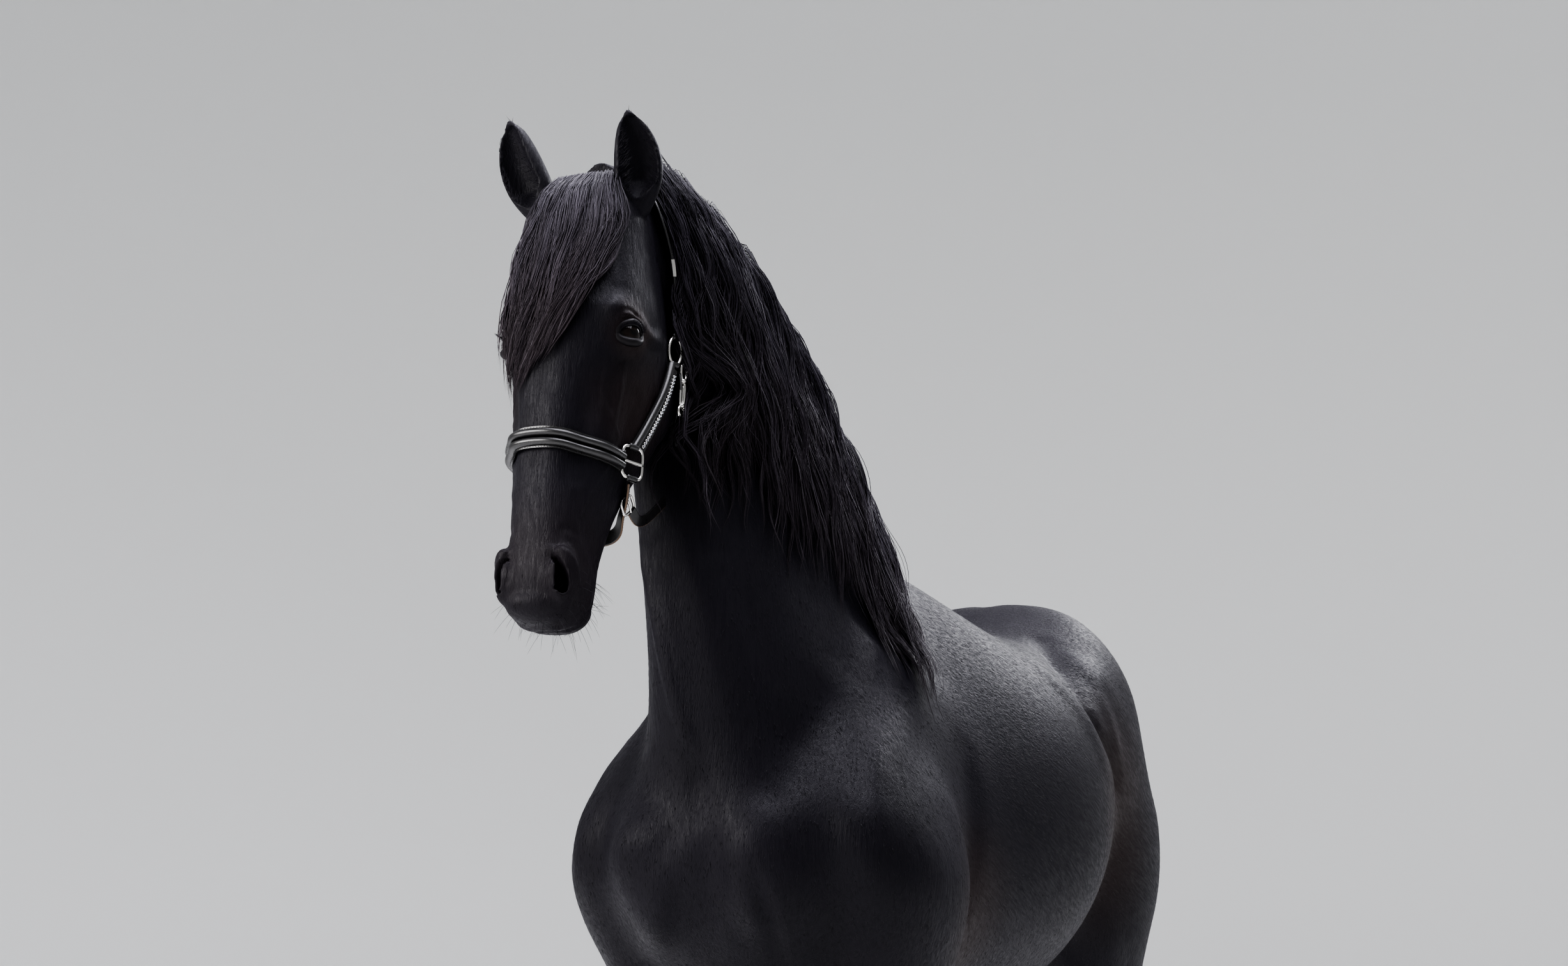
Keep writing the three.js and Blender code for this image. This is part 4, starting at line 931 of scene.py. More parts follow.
def mane_guides(count, seed, lift, length_share):
    rng = np.random.default_rng(seed)
    guides = []
    for k in range(count):
        u = MANE_FIRST + (MANE_LAST - MANE_FIRST) * (k + rng.uniform(0.1, 0.9)) / count
        crest, back = crest_at(u)
        length = LONG_LOCK + (SHORT_LOCK - LONG_LOCK) * np.clip((2.6 - u) / 1.4, 0, 1)
        length = length * rng.uniform(0.74, 1.08) * length_share
        drift = rng.uniform(-26, 16) + np.clip((u - 4.6) * 55, 0, 92) * rng.uniform(0.5, 1.0)
        drift -= np.clip((3.0 - u) * 82, 0, 148) * rng.uniform(0.8, 1.1)
        phase = rng.uniform(0, TURN)
        high = lift * rng.uniform(0.5, 1.3) * (1 + 0.4 * np.clip((3 - u) / 1.2, 0, 1))
        line = [crest - back * 14 + X * rng.uniform(-8, 2), crest + back * (8 + high) + X * 12]
        curly = 0.7 + 0.9 * max(0, u - 4.6)
        for t in np.linspace(0, 1, 22)[1:]:
            ripple = phase * 3 + t * length / 21
            wave = (9 * math.sin(phase + t * 9) + 4.5 * curly * math.sin(ripple)) * min(1, t * 3)
            y = crest[1] + drift * t - back[1] * 12 * (1 - t) + wave
            z = crest[2] + 8 - length * t**0.96
            y += 0.85 * max(0, SNAP_CLEAR - math.hypot(y - SNAP_MIDDLE[1], z - SNAP_MIDDLE[2]))
            found = side_of_skin(y, z)
            want = (line[-1][0] - 4 if found is None else found) + 4 + high * 0.75 * (1 - 0.35 * t)
            want += 5 * math.sin(phase * 1.3 + t * 9) + 2.5 * curly * math.cos(ripple)
            line.append(np.array([max(want, line[-1][0] * 0.55 + want * 0.45), y, z]))
        guides.append(line)
    return place(guides)


def all_facing(way, lines):
    return unit(np.tile(way, (len(lines), 1)))


# Layers: name, guides, seed, lift, strands each, width of a strand, share of the length, points.
manes = []
for name, count, seed, lift, each, wide, share, stops in (
        ("mane_under", 60, 3, 8, 18, 0.0040, 1.0, 20),
        ("mane_middle", 64, 5, 15, 20, 0.0027, 0.98, 25),
        ("mane_over", 60, 7, 24, 22, 0.0016, 0.92, 25)):
    guides = mane_guides(count, seed, lift, share)
    manes.append(strands_from(name, guides, all_facing([1.0, 0.1, 0.3], guides), int(each * DENSE), 0.020,
                              0.011, wide, 0.0011, seed, points_each=stops, flyaway=0.1, brown=0.2))

# %% [markdown]
# ### The forelock
# It grows between the ears, spreads over the forehead and is swept across to the right eye. Its
# left edge bows out below the ear before it turns back, so the edges are drawn as two curves down
# the face, and the guides run between them.

# %% Guides of the forelock
# Edges: down the face and sideways. The hair starts at the poll and lies on a face of this half width.
LEFT_EDGE = np.array([(-232, 40), (-215, 50), (-180, 64), (-139, 73), (-92, 72), (-52, 60), (-9, 43),
                      (32, 22), (63, 5), (124, -37), (160, -52)], float)
RIGHT_EDGE = np.array([(-232, -44), (-190, -62), (-139, -72), (-92, -74), (-54, -72), (0, -72), (67, -74),
                       (124, -66), (160, -60)], float)
POLL = -228
FACE_HALF = 78


def face_at(lateral, down):
    """How far forward the skin of the face lies."""
    start = place(head_point(lateral, 260, down))
    hit = tree.ray_cast(Vector(start), Vector(-FORWARD))[0]
    if hit is None:
        return None
    return float((np.array(hit) * 1000 - SHIFT - HEAD_AT) @ FORWARD)


def forelock_guides(count, seed, lift):
    rng = np.random.default_rng(seed)
    guides = []
    for k in range(count):
        share = (k + rng.uniform(0.05, 0.95)) / count
        end = (80 + 46 * math.sin(math.pi * min(1, share + 0.1))) * rng.uniform(0.66, 1.08)
        phase = rng.uniform(0, TURN)
        line = []
        for t in np.linspace(0, 1, 10):
            down = POLL + (end - POLL) * t**1.1
            a, b = (np.interp(down, edge[:, 0], edge[:, 1]) for edge in (RIGHT_EDGE, LEFT_EDGE))
            lateral = a + (b - a) * share + 3.5 * math.sin(phase + 9 * t) * min(1, 2 * t)
            found = face_at(float(np.clip(lateral, -FACE_HALF, FACE_HALF)), max(down, -205))
            deep = (-60 if found is None else found) - 0.25 * max(0, abs(lateral) - FACE_HALF)
            above = -14 if t == 0 else 3 + lift * (0.7 + 0.5 * math.sin(3 * t + phase))
            line.append(head_point(lateral, deep + above, down))
        guides.append(line)
    return place(guides)


for name, count, seed, lift, each, wide in (("forelock_under", 30, 21, 4, 30, 0.0026),
                                            ("forelock_over", 34, 23, 11, 34, 0.0015)):
    guides = forelock_guides(count, seed, lift)
    manes.append(strands_from(name, guides, all_facing(FORWARD - DOWN * 0.2, guides), int(each * DENSE),
                              0.0135, 0.006, wide, 0.0008, seed, curl=0.0034, turns=2.6, clump=0.72,
                              flyaway=0.12, cut=(0.6, 1.0), brown=0.4))

# %% [markdown]
# ### Tail and feather
# The tail hair springs from the sides and the end of the dock and falls almost to the ground. The
# feather grows on the back and sides of each fetlock and covers half of the hoof.

# %% The tail
DOCK = [[1500, 1462, 40], [1548, 1446, 40], [1590, 1412, 37], [1622, 1362, 33], [1640, 1300, 29],
        [1650, 1230, 24], [1655, 1160, 18]]
TAIL_HANGS = 1688  # behind the breast
GOLDEN = 2.4  # a turn that never lines up with itself


def dock_form():
    rows = rows_between(DOCK, 4)
    runs = unit(np.gradient(rows[:, :2], axis=0))
    rings = [rounded_ring([0, y, z], X, np.array([0, -b, a]), r - 3, r * 0.8 - 3, r * 0.8 - 3, 24)
             for (y, z, r), (a, b) in zip(rows, runs)]
    return loft(rings)


def tail_guides(count, seed, spread):
    rng = np.random.default_rng(seed)
    rows = rows_between(DOCK, 8)
    guides = []
    for k in range(count):
        share = (k + 0.5) / count
        angle = k * GOLDEN + rng.uniform(-0.3, 0.3)
        y, z, r = rows[int((0.4 + 5.4 * share) * 8)]
        across, rear = math.sin(angle), math.cos(angle)
        tip = rng.uniform(78, 190)
        wide = spread * rng.uniform(0.6, 1.05)
        phase = rng.uniform(0, TURN)
        line = [np.array([across * r * 0.4, y, z])]
        for t in np.linspace(0, 1, 11)[1:]:
            gather = 1 - 0.45 * t**3
            wave = 11 * math.sin(phase + 11 * t) * min(1, 2 * t)
            aside = across * (r + (wide - r) * min(1, t * 2.2)) * gather
            back = y + (TAIL_HANGS - y) * min(1, t * 1.9) + rear * (r * 0.8 + (38 - r * 0.8) * t) * gather
            line.append(np.array([aside + wave * 0.7, back + wave * 0.5, z + (tip - z) * t**0.92]))
        guides.append(line)
    turns = [k * GOLDEN for k in range(count)]
    return place(guides), unit(np.array([[math.sin(a), math.cos(a) + 0.2, 0.1] for a in turns]))


dock = joined_form("dock", [dock_form()])
tails = []
for name, count, seed, spread, each, wide in (("tail_under", 54, 31, 66, 26, 0.0042),
                                              ("tail_over", 60, 33, 80, 30, 0.0025)):
    guides, facing = tail_guides(count, seed, spread)
    tails.append(strands_from(name, guides, facing, int(each * DENSE), 0.022, 0.012, wide, 0.0012, seed,
                              curl=0.005, turns=4.2, points_each=17, cut=(0.6, 1.0), brown=0.25))


# %% The feather on the feet
CORONET = 92  # height of the upper edge of a hoof
SIDES = (("left", 1), ("right", -1))  # the left is where x is positive


def row_at_height(table, z):
    t = np.array(table, float)[::-1]
    return np.array([np.interp(z, t[:, 0], t[:, c]) for c in range(1, t.shape[1])])


def feather_guides(table, side, count, seed):
    rng = np.random.default_rng(seed)
    guides, facing = [], []
    for k in range(count):
        share = (k + 0.5) / count
        angle = -2.5 + 5.0 * ((share * 7.3) % 1) + rng.uniform(-0.15, 0.15)
        across, rear = math.sin(angle), math.cos(angle)
        behind = max(0.0, rear)
        high = rng.uniform(150, 235) + behind * rng.uniform(20, 120)
        root, foot = row_at_height(table, high), row_at_height(table, CORONET)
        tip = rng.uniform(16, 46) + (30 if rear < -0.2 else 0)
        reach = 36 if rear > 0 else 17
        line = []
        for t in np.linspace(0, 1, 7):
            x, y, wide, back, front = root + (foot - root) * min(1, t * 1.1)
            flare = -10 if t == 0 else 2 + (reach - 2) * t + 4 * math.sin(5 * t + k)
            line.append(np.array([side * x + across * (wide + flare),
                                  y + rear * ((back if rear > 0 else front) + flare),
                                  high + (tip - high) * t]))
        guides.append(line)
        facing.append([across, rear, 0.1])
    return place(guides), unit(np.array(facing))


feathers = []
for tag, table, seed in (("front", FORE_LEG, 41), ("hind", HIND_LEG, 43)):
    for word, side in SIDES:
        guides, facing = feather_guides(table, side, 86, seed)
        feathers.append(strands_from("feather_%s_%s" % (tag, word), guides, facing, int(10 * DENSE) + 1,
                                     0.011, 0.006, 0.0020, 0.0007, seed + side, curl=0.0022, turns=1.6,
                                     points_each=8, clump=0.55, cut=(0.6, 1.0), brown=0.3))

# %% [markdown]
# ## Eyes and eyelids
# An eye is a dark wet ball with a wide pupil. Its look is in the material, which needs to know how
# far each point lies from the middle of the eye. Each lid is a fold that touches the ball and dips
# under the skin all round, where the real fold is. Stiff lashes stand on the edge of the upper lid.

# %% Eyes
PUPIL, IRIS = (0.36, 0.17), 0.80  # how far they reach from the middle of the eye, in radians
OUTSIDE = 9  # stands for the back of the ball
eyes = []
for word, side in SIDES:
    centre, out, up, along = eye_place(side)
    ball = smoothed(joined_form("eyeball_" + word, [ball_form(centre, along, up, [EYE_RADIUS] * 3, 64)]))
    away = unit(points_of(ball) - place(centre))
    aside, high = np.arcsin(away @ along), np.arcsin(away @ up)
    front = away @ out > 0
    pupil = np.where(front, np.hypot(aside / PUPIL[0], high / PUPIL[1]), OUTSIDE)
    iris = np.where(front, np.hypot(aside, high) / IRIS, OUTSIDE)
    give_values(ball.data, "pupil", pupil)
    give_values(ball.data, "iris", iris)
    eyes.append(ball)

# %% Lids
# A lid from its edge outwards: degrees outside the opening, and height over the ball.
LID_ROWS = [(-1.5, 0.15), (-0.5, 1.3), (1.5, 2.9), (5, 4.6), (10, 5.7), (17, 6.0), (24, 5.4), (31, 3.4),
            (31, 1.4), (14, 0.6)]


def lid_point(side, a, more, height):
    heavy = 1.12 if math.sin(a) > 0.1 else 1.0
    return eye_place(side)[0] + (EYE_RADIUS + height * heavy) * lid_direction(side, a, more)


lids, lashes = [], []
turns = np.linspace(0, 2 * np.pi, 72, endpoint=False)
for word, side in SIDES:
    grid = place([[lid_point(side, a, more, height) for a in turns] for more, height in LID_ROWS])
    faces = grid_faces(*grid.shape[:2], closed=True)
    lids.append(smoothed(mesh_object("lids_" + word, *turned_out(grid.reshape(-1, 3), faces))))
    rng = np.random.default_rng(61 + side)
    _, out, up, along = eye_place(side)
    paths = []
    for a in np.linspace(0.25, math.pi - 0.35, 90 if DENSE == 1 else 45):
        a += rng.uniform(-0.02, 0.02)
        root = lid_point(side, a, 0.5, 2.4)
        way = unit(lid_direction(side, a, 0) + out * 0.9 - up * rng.uniform(0.1, 0.5))
        long = rng.uniform(9, 14) * (0.6 + 0.4 * math.sin(a))
        paths.append([root + way * long * s + up * 3.5 * s * s for s in np.linspace(0, 1, 5)])
    lashes.append(fine_hairs("lashes_" + word, place(paths), along, 0.0004, 0.4, [up] * len(paths),
                             rng.uniform(0, 0.4, len(paths))))

# %% [markdown]
# ## Hoofs
# A hoof is a horn cone with faint growth rings, wider at the ground, and its flat sole is level with
# the floor.

# %% Hoofs
def hoof_form(table, side):
    _, x, y = table[-1][:3]
    rings = []
    for z, back, width, reach_back, reach in rows_between(HOOF, 7):
        ripple = 0.5 * math.sin(z * 0.9) * (4 < z < 82)
        rings.append(rounded_ring([side * x, y + back, max(z, 0)], X, Y, width + ripple,
                                  reach_back + ripple, reach + ripple, 48, 2.4, 2.1))
    return loft(rings)


hoofs = []
for tag, table in (("front", FORE_LEG), ("hind", HIND_LEG)):
    for word, side in SIDES:
        foot = "%s_%s" % (tag, word)
        hoofs.append((smoothed(joined_form("horn_" + foot, [hoof_form(table, side)])), "hoof_" + foot))
print("two eyes and", len(hoofs), "hoofs")

# %% [markdown]
# ## The short coat
# The coat lies flat and glossy. Its grain is a bump in the finish, and short pointed tufts stand a
# little off the skin on every side, so that they break the outline and the shine as hair does. They
# are three-sided like the long hair, longest on the trunk and smallest on the face and the feet.

# %% The way the hair lies, and where it is warmer
def trunk_share(places):
    """From 1 on the trunk, where the hair lies backwards, to 0 on neck and legs, where it hangs."""
    return eased(places[:, 1] + BEHIND_BREAST, 0.15, 0.6) * eased(places[:, 2], 0.9, 1.1)


def head_share(places):
    return 1 - eased(distance(places, HEAD_MIDDLE), 0.30, 0.42)


def lie_of(places, facing):
    """The way the hair lies, along the skin."""
    trunk, near = trunk_share(places), head_share(places)[:, None]
    way = np.stack([0 * trunk, 0.25 + 0.75 * trunk, -1 + 0.55 * trunk], 1)
    way = way * (1 - near) + (DOWN - FORWARD * 0.1) * near
    way[places[:, 2] > place(head_point(0, 0, -214))[2]] = -DOWN
    return unit(way - facing * np.sum(way * facing, axis=1, keepdims=True))


# Brown places of head and body: the middle of each, how far it reaches in metres, and how brown it is.
HEAD_BROWN = [(head_point(30, -60, 330), 0.13, 0.16), (head_point(70, -120, 110), 0.12, 0.4),
              (head_point(95, -70, 10), 0.06, 0.5)]
BODY_BROWN = [((280, 1120, 1190), 0.28, 0.6), ((235, 400, 1010), 0.2, 0.5)]


def warmth(places):
    """How far the black turns brown: at the muzzle, the cheeks, the flanks and the elbows."""
    share = np.zeros(len(places))
    for middle, spots in ((HEAD_MIDDLE[0], HEAD_BROWN), (0.0, BODY_BROWN)):
        folded = np.stack([np.abs(places[:, 0] - middle), places[:, 1], places[:, 2]], 1)
        for spot, reach, much in spots:
            at = place(spot)
            at[0] = abs(at[0] - middle)
            share = np.maximum(share, much * (1 - eased(distance(folded, at), 0.2 * reach, reach)))
    return share


# %% Tufts
def coat_tufts(name, count, seed, on_head):
    rng = np.random.default_rng(seed)
    mesh = skin.data
    corners = values_of(mesh.loops, "vertex_index", 1, np.int32).reshape(-1, 4)
    area = values_of(mesh.polygons, "area")
    near = head_share(points[corners].mean(1))
    area *= near if on_head else 1 - near
    chosen = rng.choice(len(area), count, p=area / area.sum())
    a, b = rng.random((2, count, 1))
    quad = corners[chosen]

    def blended(values):
        v = values[quad]
        return (v[:, 0] * (1 - a) + v[:, 1] * a) * (1 - b) + (v[:, 3] * (1 - a) + v[:, 2] * a) * b

    roots, facing = blended(points), unit(blended(normals_of(skin)))
    keep = np.ones(count, dtype=bool)
    for side in (1, -1):
        for spot, clear in ((eye_place(side)[0], 0.0275), (head_point(side * 38, -18, 362), 0.021)):
            keep &= distance(roots, place(spot)) > clear
    roots, facing = roots[keep], facing[keep]
    n = len(roots)
    muzzle = 1 - eased(distance(roots, place(head_point(0, -60, 370))), 0.07, 0.16)
    high = roots[:, 2]
    if on_head:
        long = 0.0048 - 0.0022 * muzzle
    else:
        long = 0.0045 + 0.003 * eased(high, 0.25, 0.5) + 0.003 * eased(high, 0.7, 1)
    long = long * rng.uniform(0.7, 1.25, n)
    lie = lie_of(roots, facing)
    across = np.cross(lie, facing)
    lie = unit(lie + across * rng.normal(0, 0.16, n)[:, None])
    root = roots - facing * 0.0004
    tips = roots + lie * long[:, None] + facing * (long * rng.uniform(0.05, 0.14, n))[:, None]
    paths = np.stack([root, tips], 1)
    width = (0.00055 if on_head else 0.0011) * rng.uniform(0.7, 1.2, n)
    wide = np.stack([width, width], 1)
    return sliver_object(name, paths, np.stack([across, across], 1), wide, wide * 0.22, roots, facing,
                         rng.uniform(0, 1, n), warmth(roots))


BODY_TUFTS, HEAD_TUFTS = 27000, 32000
thin = 1
tufts = [coat_tufts("tufts_body_%d" % k, int(BODY_TUFTS * thin), 71 + k, False) for k in range(2)]
tufts.append(coat_tufts("tufts_head", int(HEAD_TUFTS * thin), 75, True))

# %% Whiskers and the hair of the ears
rng = np.random.default_rng(81)
paths, ways = [], []
for _ in range(90):
    side = rng.choice([-1, 1])
    spot = head_point(side * rng.uniform(5, 60), -rng.uniform(20, 125), rng.uniform(345, 425))
    at, way, _, _ = tree.find_nearest(Vector(place(spot)))
    at, way = np.array(at), unit(np.array(way) + DOWN * 0.35 + rng.normal(0, 0.2, 3))
    long = rng.uniform(0.012, 0.038)
    paths.append([at + way * long * s + DOWN * 0.006 * s * s for s in np.linspace(0, 1, 6)])
    ways.append(way)
whiskers = [fine_hairs("whiskers", paths, FORWARD, 0.00038, 0.45, ways, np.full(len(paths), 0.2))]
paths, ways = [], []
for side in (1, -1):
    _, _, rise, across, facing, broad = ear_frame(side)
    for _ in range(260):
        s = rng.uniform(0.14, 0.86) ** 1.1
        w = np.interp(s * 6, range(7), EAR_WIDTHS) * broad
        edge = rng.choice([-1, 1]) * rng.uniform(0.45, 0.82)
        at = (ear_middle(side, s) + across * w * edge + facing * w * 0.30 * (1 - abs(edge))
              + facing * w * 0.25)
        way = unit(-across * np.sign(edge) * 0.8 + rise * rng.uniform(0.4, 1.0)
                   + facing * rng.uniform(0.1, 0.45))
        long = rng.uniform(9, 20) * (1.15 - s)
        paths.append(place([at + way * long * k for k in np.linspace(0, 1, 5)]))
        ways.append(facing)
whiskers.append(fine_hairs("ear_hair", paths, DOWN, 0.0005, 0.5, ways, rng.uniform(0, 0.5, len(paths))))

# %% [markdown]
# ## Head collar
# The collar is polished black leather: a noseband padded as two rolls, cheekpieces with one roll and
# a row of cut stones, flat stitched straps, and cast fittings. Each strap follows a line on the head
# with its own profile, because leather is cut to an even width and bends only one way.

# %% Lines on the head
FACE_MIDDLE = place(head_point(0, -90, 100))


def collar_at(stop, lift):
    lateral, forward, down = stop
    p = place(head_point(lateral, forward, down))
    if abs(lateral) > 48:
        sign = math.copysign(1, lateral)
        hit = tree.ray_cast(Vector((sign * 0.6, p[1], p[2])), Vector((-sign, 0, 0)))[0]
        if hit is not None:
            p[0] = hit.x + sign * (lift + FACE_COAT) / 1000
    return p


def strap_line(half, lift, side=0):
    """The middle line of a strap, on the skin where there is skin beside it."""
    if side:
        stops = [(side * a, b, c) for a, b, c in half]
    else:
        stops = [(-a, b, c) for a, b, c in half[:0:-1]] + half
    line = np.array([collar_at(p, lift) for p in rows_between(stops, 10)])
    for _ in range(45):
        line[1:-1] = (line[:-2] + line[1:-1] * 2 + line[2:]) / 4
    away = line - FACE_MIDDLE
    away[:, 2] = 0
    return line, unit(away)


# %% Profiles and sweeps
def flat_profile(wide, thick):
    a = np.linspace(0, 2 * np.pi, 28, endpoint=False)
    c, s = np.cos(a), np.sin(a)
    return np.stack([wide / 2 * np.sign(c) * np.abs(c)**0.22, thick / 2 * np.sign(s) * np.abs(s)**0.5], 1)


def rolled_profile(wide, thick, rolls):
    """A flat strap that carries padded rolls; each roll is its middle and half width in half widths."""
    top = []
    for u in np.linspace(1, -1, 41):
        high = max([math.sqrt(max(0, 1 - ((u - m) / r)**2)) for m, r in rolls])
        top.append((u * wide / 2, -thick * 0.22 + thick * 0.72 * high))
    return np.array(top + [(-wide / 2, -thick / 2), (0, -thick / 2), (wide / 2, -thick / 2)])


def frame_of(line, normals):
    ahead = unit(np.gradient(line, axis=0))
    aside = unit(np.cross(ahead, normals))
    return ahead, aside, unit(np.cross(aside, ahead))


def swept(name, line, normals, profile, shift=(0, 0)):
    _, aside, out = frame_of(line, normals)
    rings = [p + ((profile[:, :1] + shift[0]) * a + (profile[:, 1:] + shift[1]) * b) / 1000
             for p, a, b in zip(line, aside, out)]
    made = smoothed(mesh_object(name, *loft(rings)))
    made.data.set_sharp_from_angle(angle=math.radians(50))
    return made


def along_line(line, normals, step, start=0.0, end=0.0):
    """Even stations along a line, in millimetres from its ends, with their frames."""
    far = np.concatenate([[0], np.cumsum(np.linalg.norm(np.diff(line, axis=0), axis=1))]) * 1000
    at = np.arange(start, far[-1] - end, step)
    axes = [line] + list(frame_of(line, normals))
    return [np.stack([np.interp(at, far, axis[:, c]) for c in range(3)], 1) for axis in axes]


def beads(name, middles, u, v, w, radii, facets):
    """Small cut bodies: a belt, a table above it and a point below."""
    made, faces, base = [], [], 0
    ring = np.linspace(0, 2 * np.pi, facets, endpoint=False)
    for m, a, b, c in zip(middles, u, v, w):
        belt = [m + (a * radii[0] * math.cos(t) + b * radii[1] * math.sin(t)) / 1000 for t in ring]
        table = [m + (a * radii[0] * 0.55 * math.cos(t + 0.3) + b * radii[1] * 0.55 * math.sin(t + 0.3)
                      + c * radii[2]) / 1000 for t in ring]
        made += belt + table + [m - c * radii[2] / 1000]
        for i in range(facets):
            j = (i + 1) % facets
            faces.append([base + i, base + j, base + facets + j, base + facets + i])
            faces.append([base + j, base + i, base + 2 * facets])
        faces.append([base + facets + i for i in range(facets)])
        base += 2 * facets + 1
    return mesh_object(name, made, faces)


# %% Wires for rings and hooks
def wire_form(path, w, radius, closed=True, n=14):
    """A round wire along a flat path in millimetres; w stands square to the path's plane."""
    path = np.asarray(path, float)
    run = np.roll(path, -1, 0) - np.roll(path, 1, 0) if closed else np.gradient(path, axis=0)
    out = unit(np.cross(run, w))
    turn_about = np.linspace(0, 2 * np.pi, n, endpoint=False)
    rings = [p + radius * (np.cos(turn_about)[:, None] * o + np.sin(turn_about)[:, None] * w)
             for p, o in zip(path, out)]
    if not closed:
        return loft(rings)
    return turned_out(np.vstack(rings), grid_faces(len(rings), n, closed=True))


def oval_path(centre, u, v, a, b, corner=2.0, n=72):
    t = (np.arange(n) + 0.5) * 2 * np.pi / n
    c, s = np.cos(t), np.sin(t)
    return (centre + np.outer(np.sign(c) * np.abs(c)**(2 / corner) * a, u)
            + np.outer(np.sign(s) * np.abs(s)**(2 / corner) * b, v))


def in_millimetres(p):
    return np.asarray(p) * 1000 - SHIFT


# %% Straps of the collar
NOSE_HALF = [[0, 6.5, 170], [24, 5.5, 171], [43, -3, 173], [56, -24, 176], [67, -52, 180], [74, -90, 184]]
CHIN_HALF = [[0, -180, 270], [26, -176, 267], [46, -163, 254], [60, -140, 232], [72, -122, 204]]
CROWN_HALF = [[0, -150, -250], [30, -150, -244], [56, -146, -222], [76, -156, -180], [86, -174, -134],
              [92, -190, -88], [96, -196, -40], [97, -196, -22]]
THROAT_HALF = [[0, -288, 118], [34, -286, 114], [62, -270, 98], [84, -232, 66], [94, -204, 26]]
CHEEK_HALF = [[98, -188, 22], [94, -172, 64], [88, -152, 106], [84, -134, 138], [80, -120, 160]]
STITCH = 4.6  # from one stitch to the next
collar = []


def add_piece(made, finish, node):
    """A piece of the collar, with the finish it gets and the node of the solids it stands for."""
    collar.append((made, finish, node))


def stitched(name, line, normals, offsets, high):
    at, ahead, aside, out = along_line(line, normals, STITCH, 5, 5)
    for k, offset in enumerate(offsets):
        middles = at + (aside * offset + out * high) / 1000
        made = beads("%s_stitches_%d" % (name, k), middles, ahead, aside, out, (1.5, 0.42, 0.4), 6)
        add_piece(made, "thread", name)


# Straps: name, half of the line, lift, profile, where the two rows of stitches run.
for name, half, lift, profile, aside, high in (
        ("noseband", NOSE_HALF, 8, rolled_profile(29, 10, [(-0.43, 0.41), (0.43, 0.41)]), 13.2, -2.0),
        ("chin_strap", CHIN_HALF, 6, flat_profile(19, 4.2), 7.7, 2.1),
        ("crownpiece", CROWN_HALF, 6, flat_profile(20, 4.2), 8.2, 2.1),
        ("throat_strap", THROAT_HALF, 6, flat_profile(17, 4.0), 6.8, 2.0)):
    line, normals_out = strap_line(half, lift)
    add_piece(swept(name + "_leather", line, normals_out, profile), "leather", name)
    stitched(name, line, normals_out, (-aside, aside), high)
    if name == "chin_strap":
        for k, sign in enumerate((1, -1)):
            add_piece(swept("%s_edge_%d" % (name, k), line, normals_out, flat_profile(0.8, 2.6),
                            (sign * 9.4, 0)), "edge", name)
for word, side in SIDES:
    name = "cheekpiece_" + word
    line, normals_out = strap_line(CHEEK_HALF, 6, side)
    normals_out = unit(normals_out * 0.75 + FORWARD * 0.55)
    profile = rolled_profile(23, 7.5, [(0.46 * side, 0.48)])
    add_piece(swept(name + "_leather", line, normals_out, profile), "leather", name)
    at, ahead, aside, out = along_line(line, normals_out, 5.9, 14, 8)
    for part, size, lifted, finish in (("cups", (2.3, 2.3, 1.0), -0.9, "metal"),
                                       ("stones", (1.9, 1.9, 2.0), 0.2, "stone")):
        middles = at + (aside * -6.0 * side + out * lifted) / 1000
        add_piece(beads(name + "_" + part, middles, ahead, aside, out, size, 8), finish, name)
    stitched(name, line, normals_out, (-10.3 * side,), -1.4)

# %% Rings, wraps, the snap and the keeper of the crownpiece
def run_along(spot, way, start, end, n):
    """Points on a straight line through a spot."""
    return [spot + way * s for s in np.linspace(start, end, n)]


for word, side in SIDES:
    sideways = unit(LATERAL * side + FORWARD * 0.25)
    forth = unit(np.cross(sideways, DOWN))
    upper = in_millimetres(collar_at((side * 97, -194, -3), 6))
    lower = in_millimetres(collar_at((side * 79, -112, 181), 7))
    out = unit(np.cross(DOWN, forth)) * side
    cheek_ring = wire_form(oval_path(upper, forth, DOWN, 13, 20), out, 2.3)
    add_piece(joined_form("ring_cheek_%s_wire" % word, [cheek_ring]), "metal", "ring_cheek_" + word)
    nose_ring = wire_form(oval_path(lower, forth, DOWN, 20, 22, 4.2), out, 2.5)
    bar = wire_form(run_along(lower + out * 1.5, forth, -20, 20, 8), out, 2.2, False)
    add_piece(joined_form("ring_nose_%s_wire" % word, [nose_ring, bar]), "metal", "ring_nose_" + word)
    front = lower - forth * 20 * side * np.sign(np.dot(forth, -FORWARD) * side)
    wraps = []
    for spot, way, long in ((front, DOWN, 13), (lower + DOWN * 22, forth, 9), (lower - DOWN * 22, forth, 8),
                            (upper + DOWN * 20, forth, 7), (upper - DOWN * 20, forth, 7)):
        around = unit(np.cross(way, out))
        wraps.append(wire_form(run_along(spot, way, -long, long, 9), around, 4.6, False, 20))
    add_piece(joined_form("wraps_" + word, wraps), "leather", "noseband")

top = in_millimetres(collar_at((98, -220, 6), 12))
snap_forms = [wire_form(oval_path(top + DOWN * 14, Y, DOWN, 8, 13), X, 2.6),
              wire_form(oval_path(top + DOWN * 46, Y, DOWN, 6, 18, 2.6), X, 2.4),
              ball_form(top + DOWN * 28, Y, DOWN, [5.5, 4, 5.0], 24),
              ball_form(top + DOWN * 64, Y, DOWN, [5.0, 4, 4.5], 24),
              wire_form(run_along(top + Y * 1.5, DOWN, 34, 60, 8), X, 1.6, False),
              wire_form(oval_path(top + DOWN * 72, Y, DOWN, 8, 7), X, 2.4)]
add_piece(joined_form("snap_wire", snap_forms), "metal", "snap_hook")

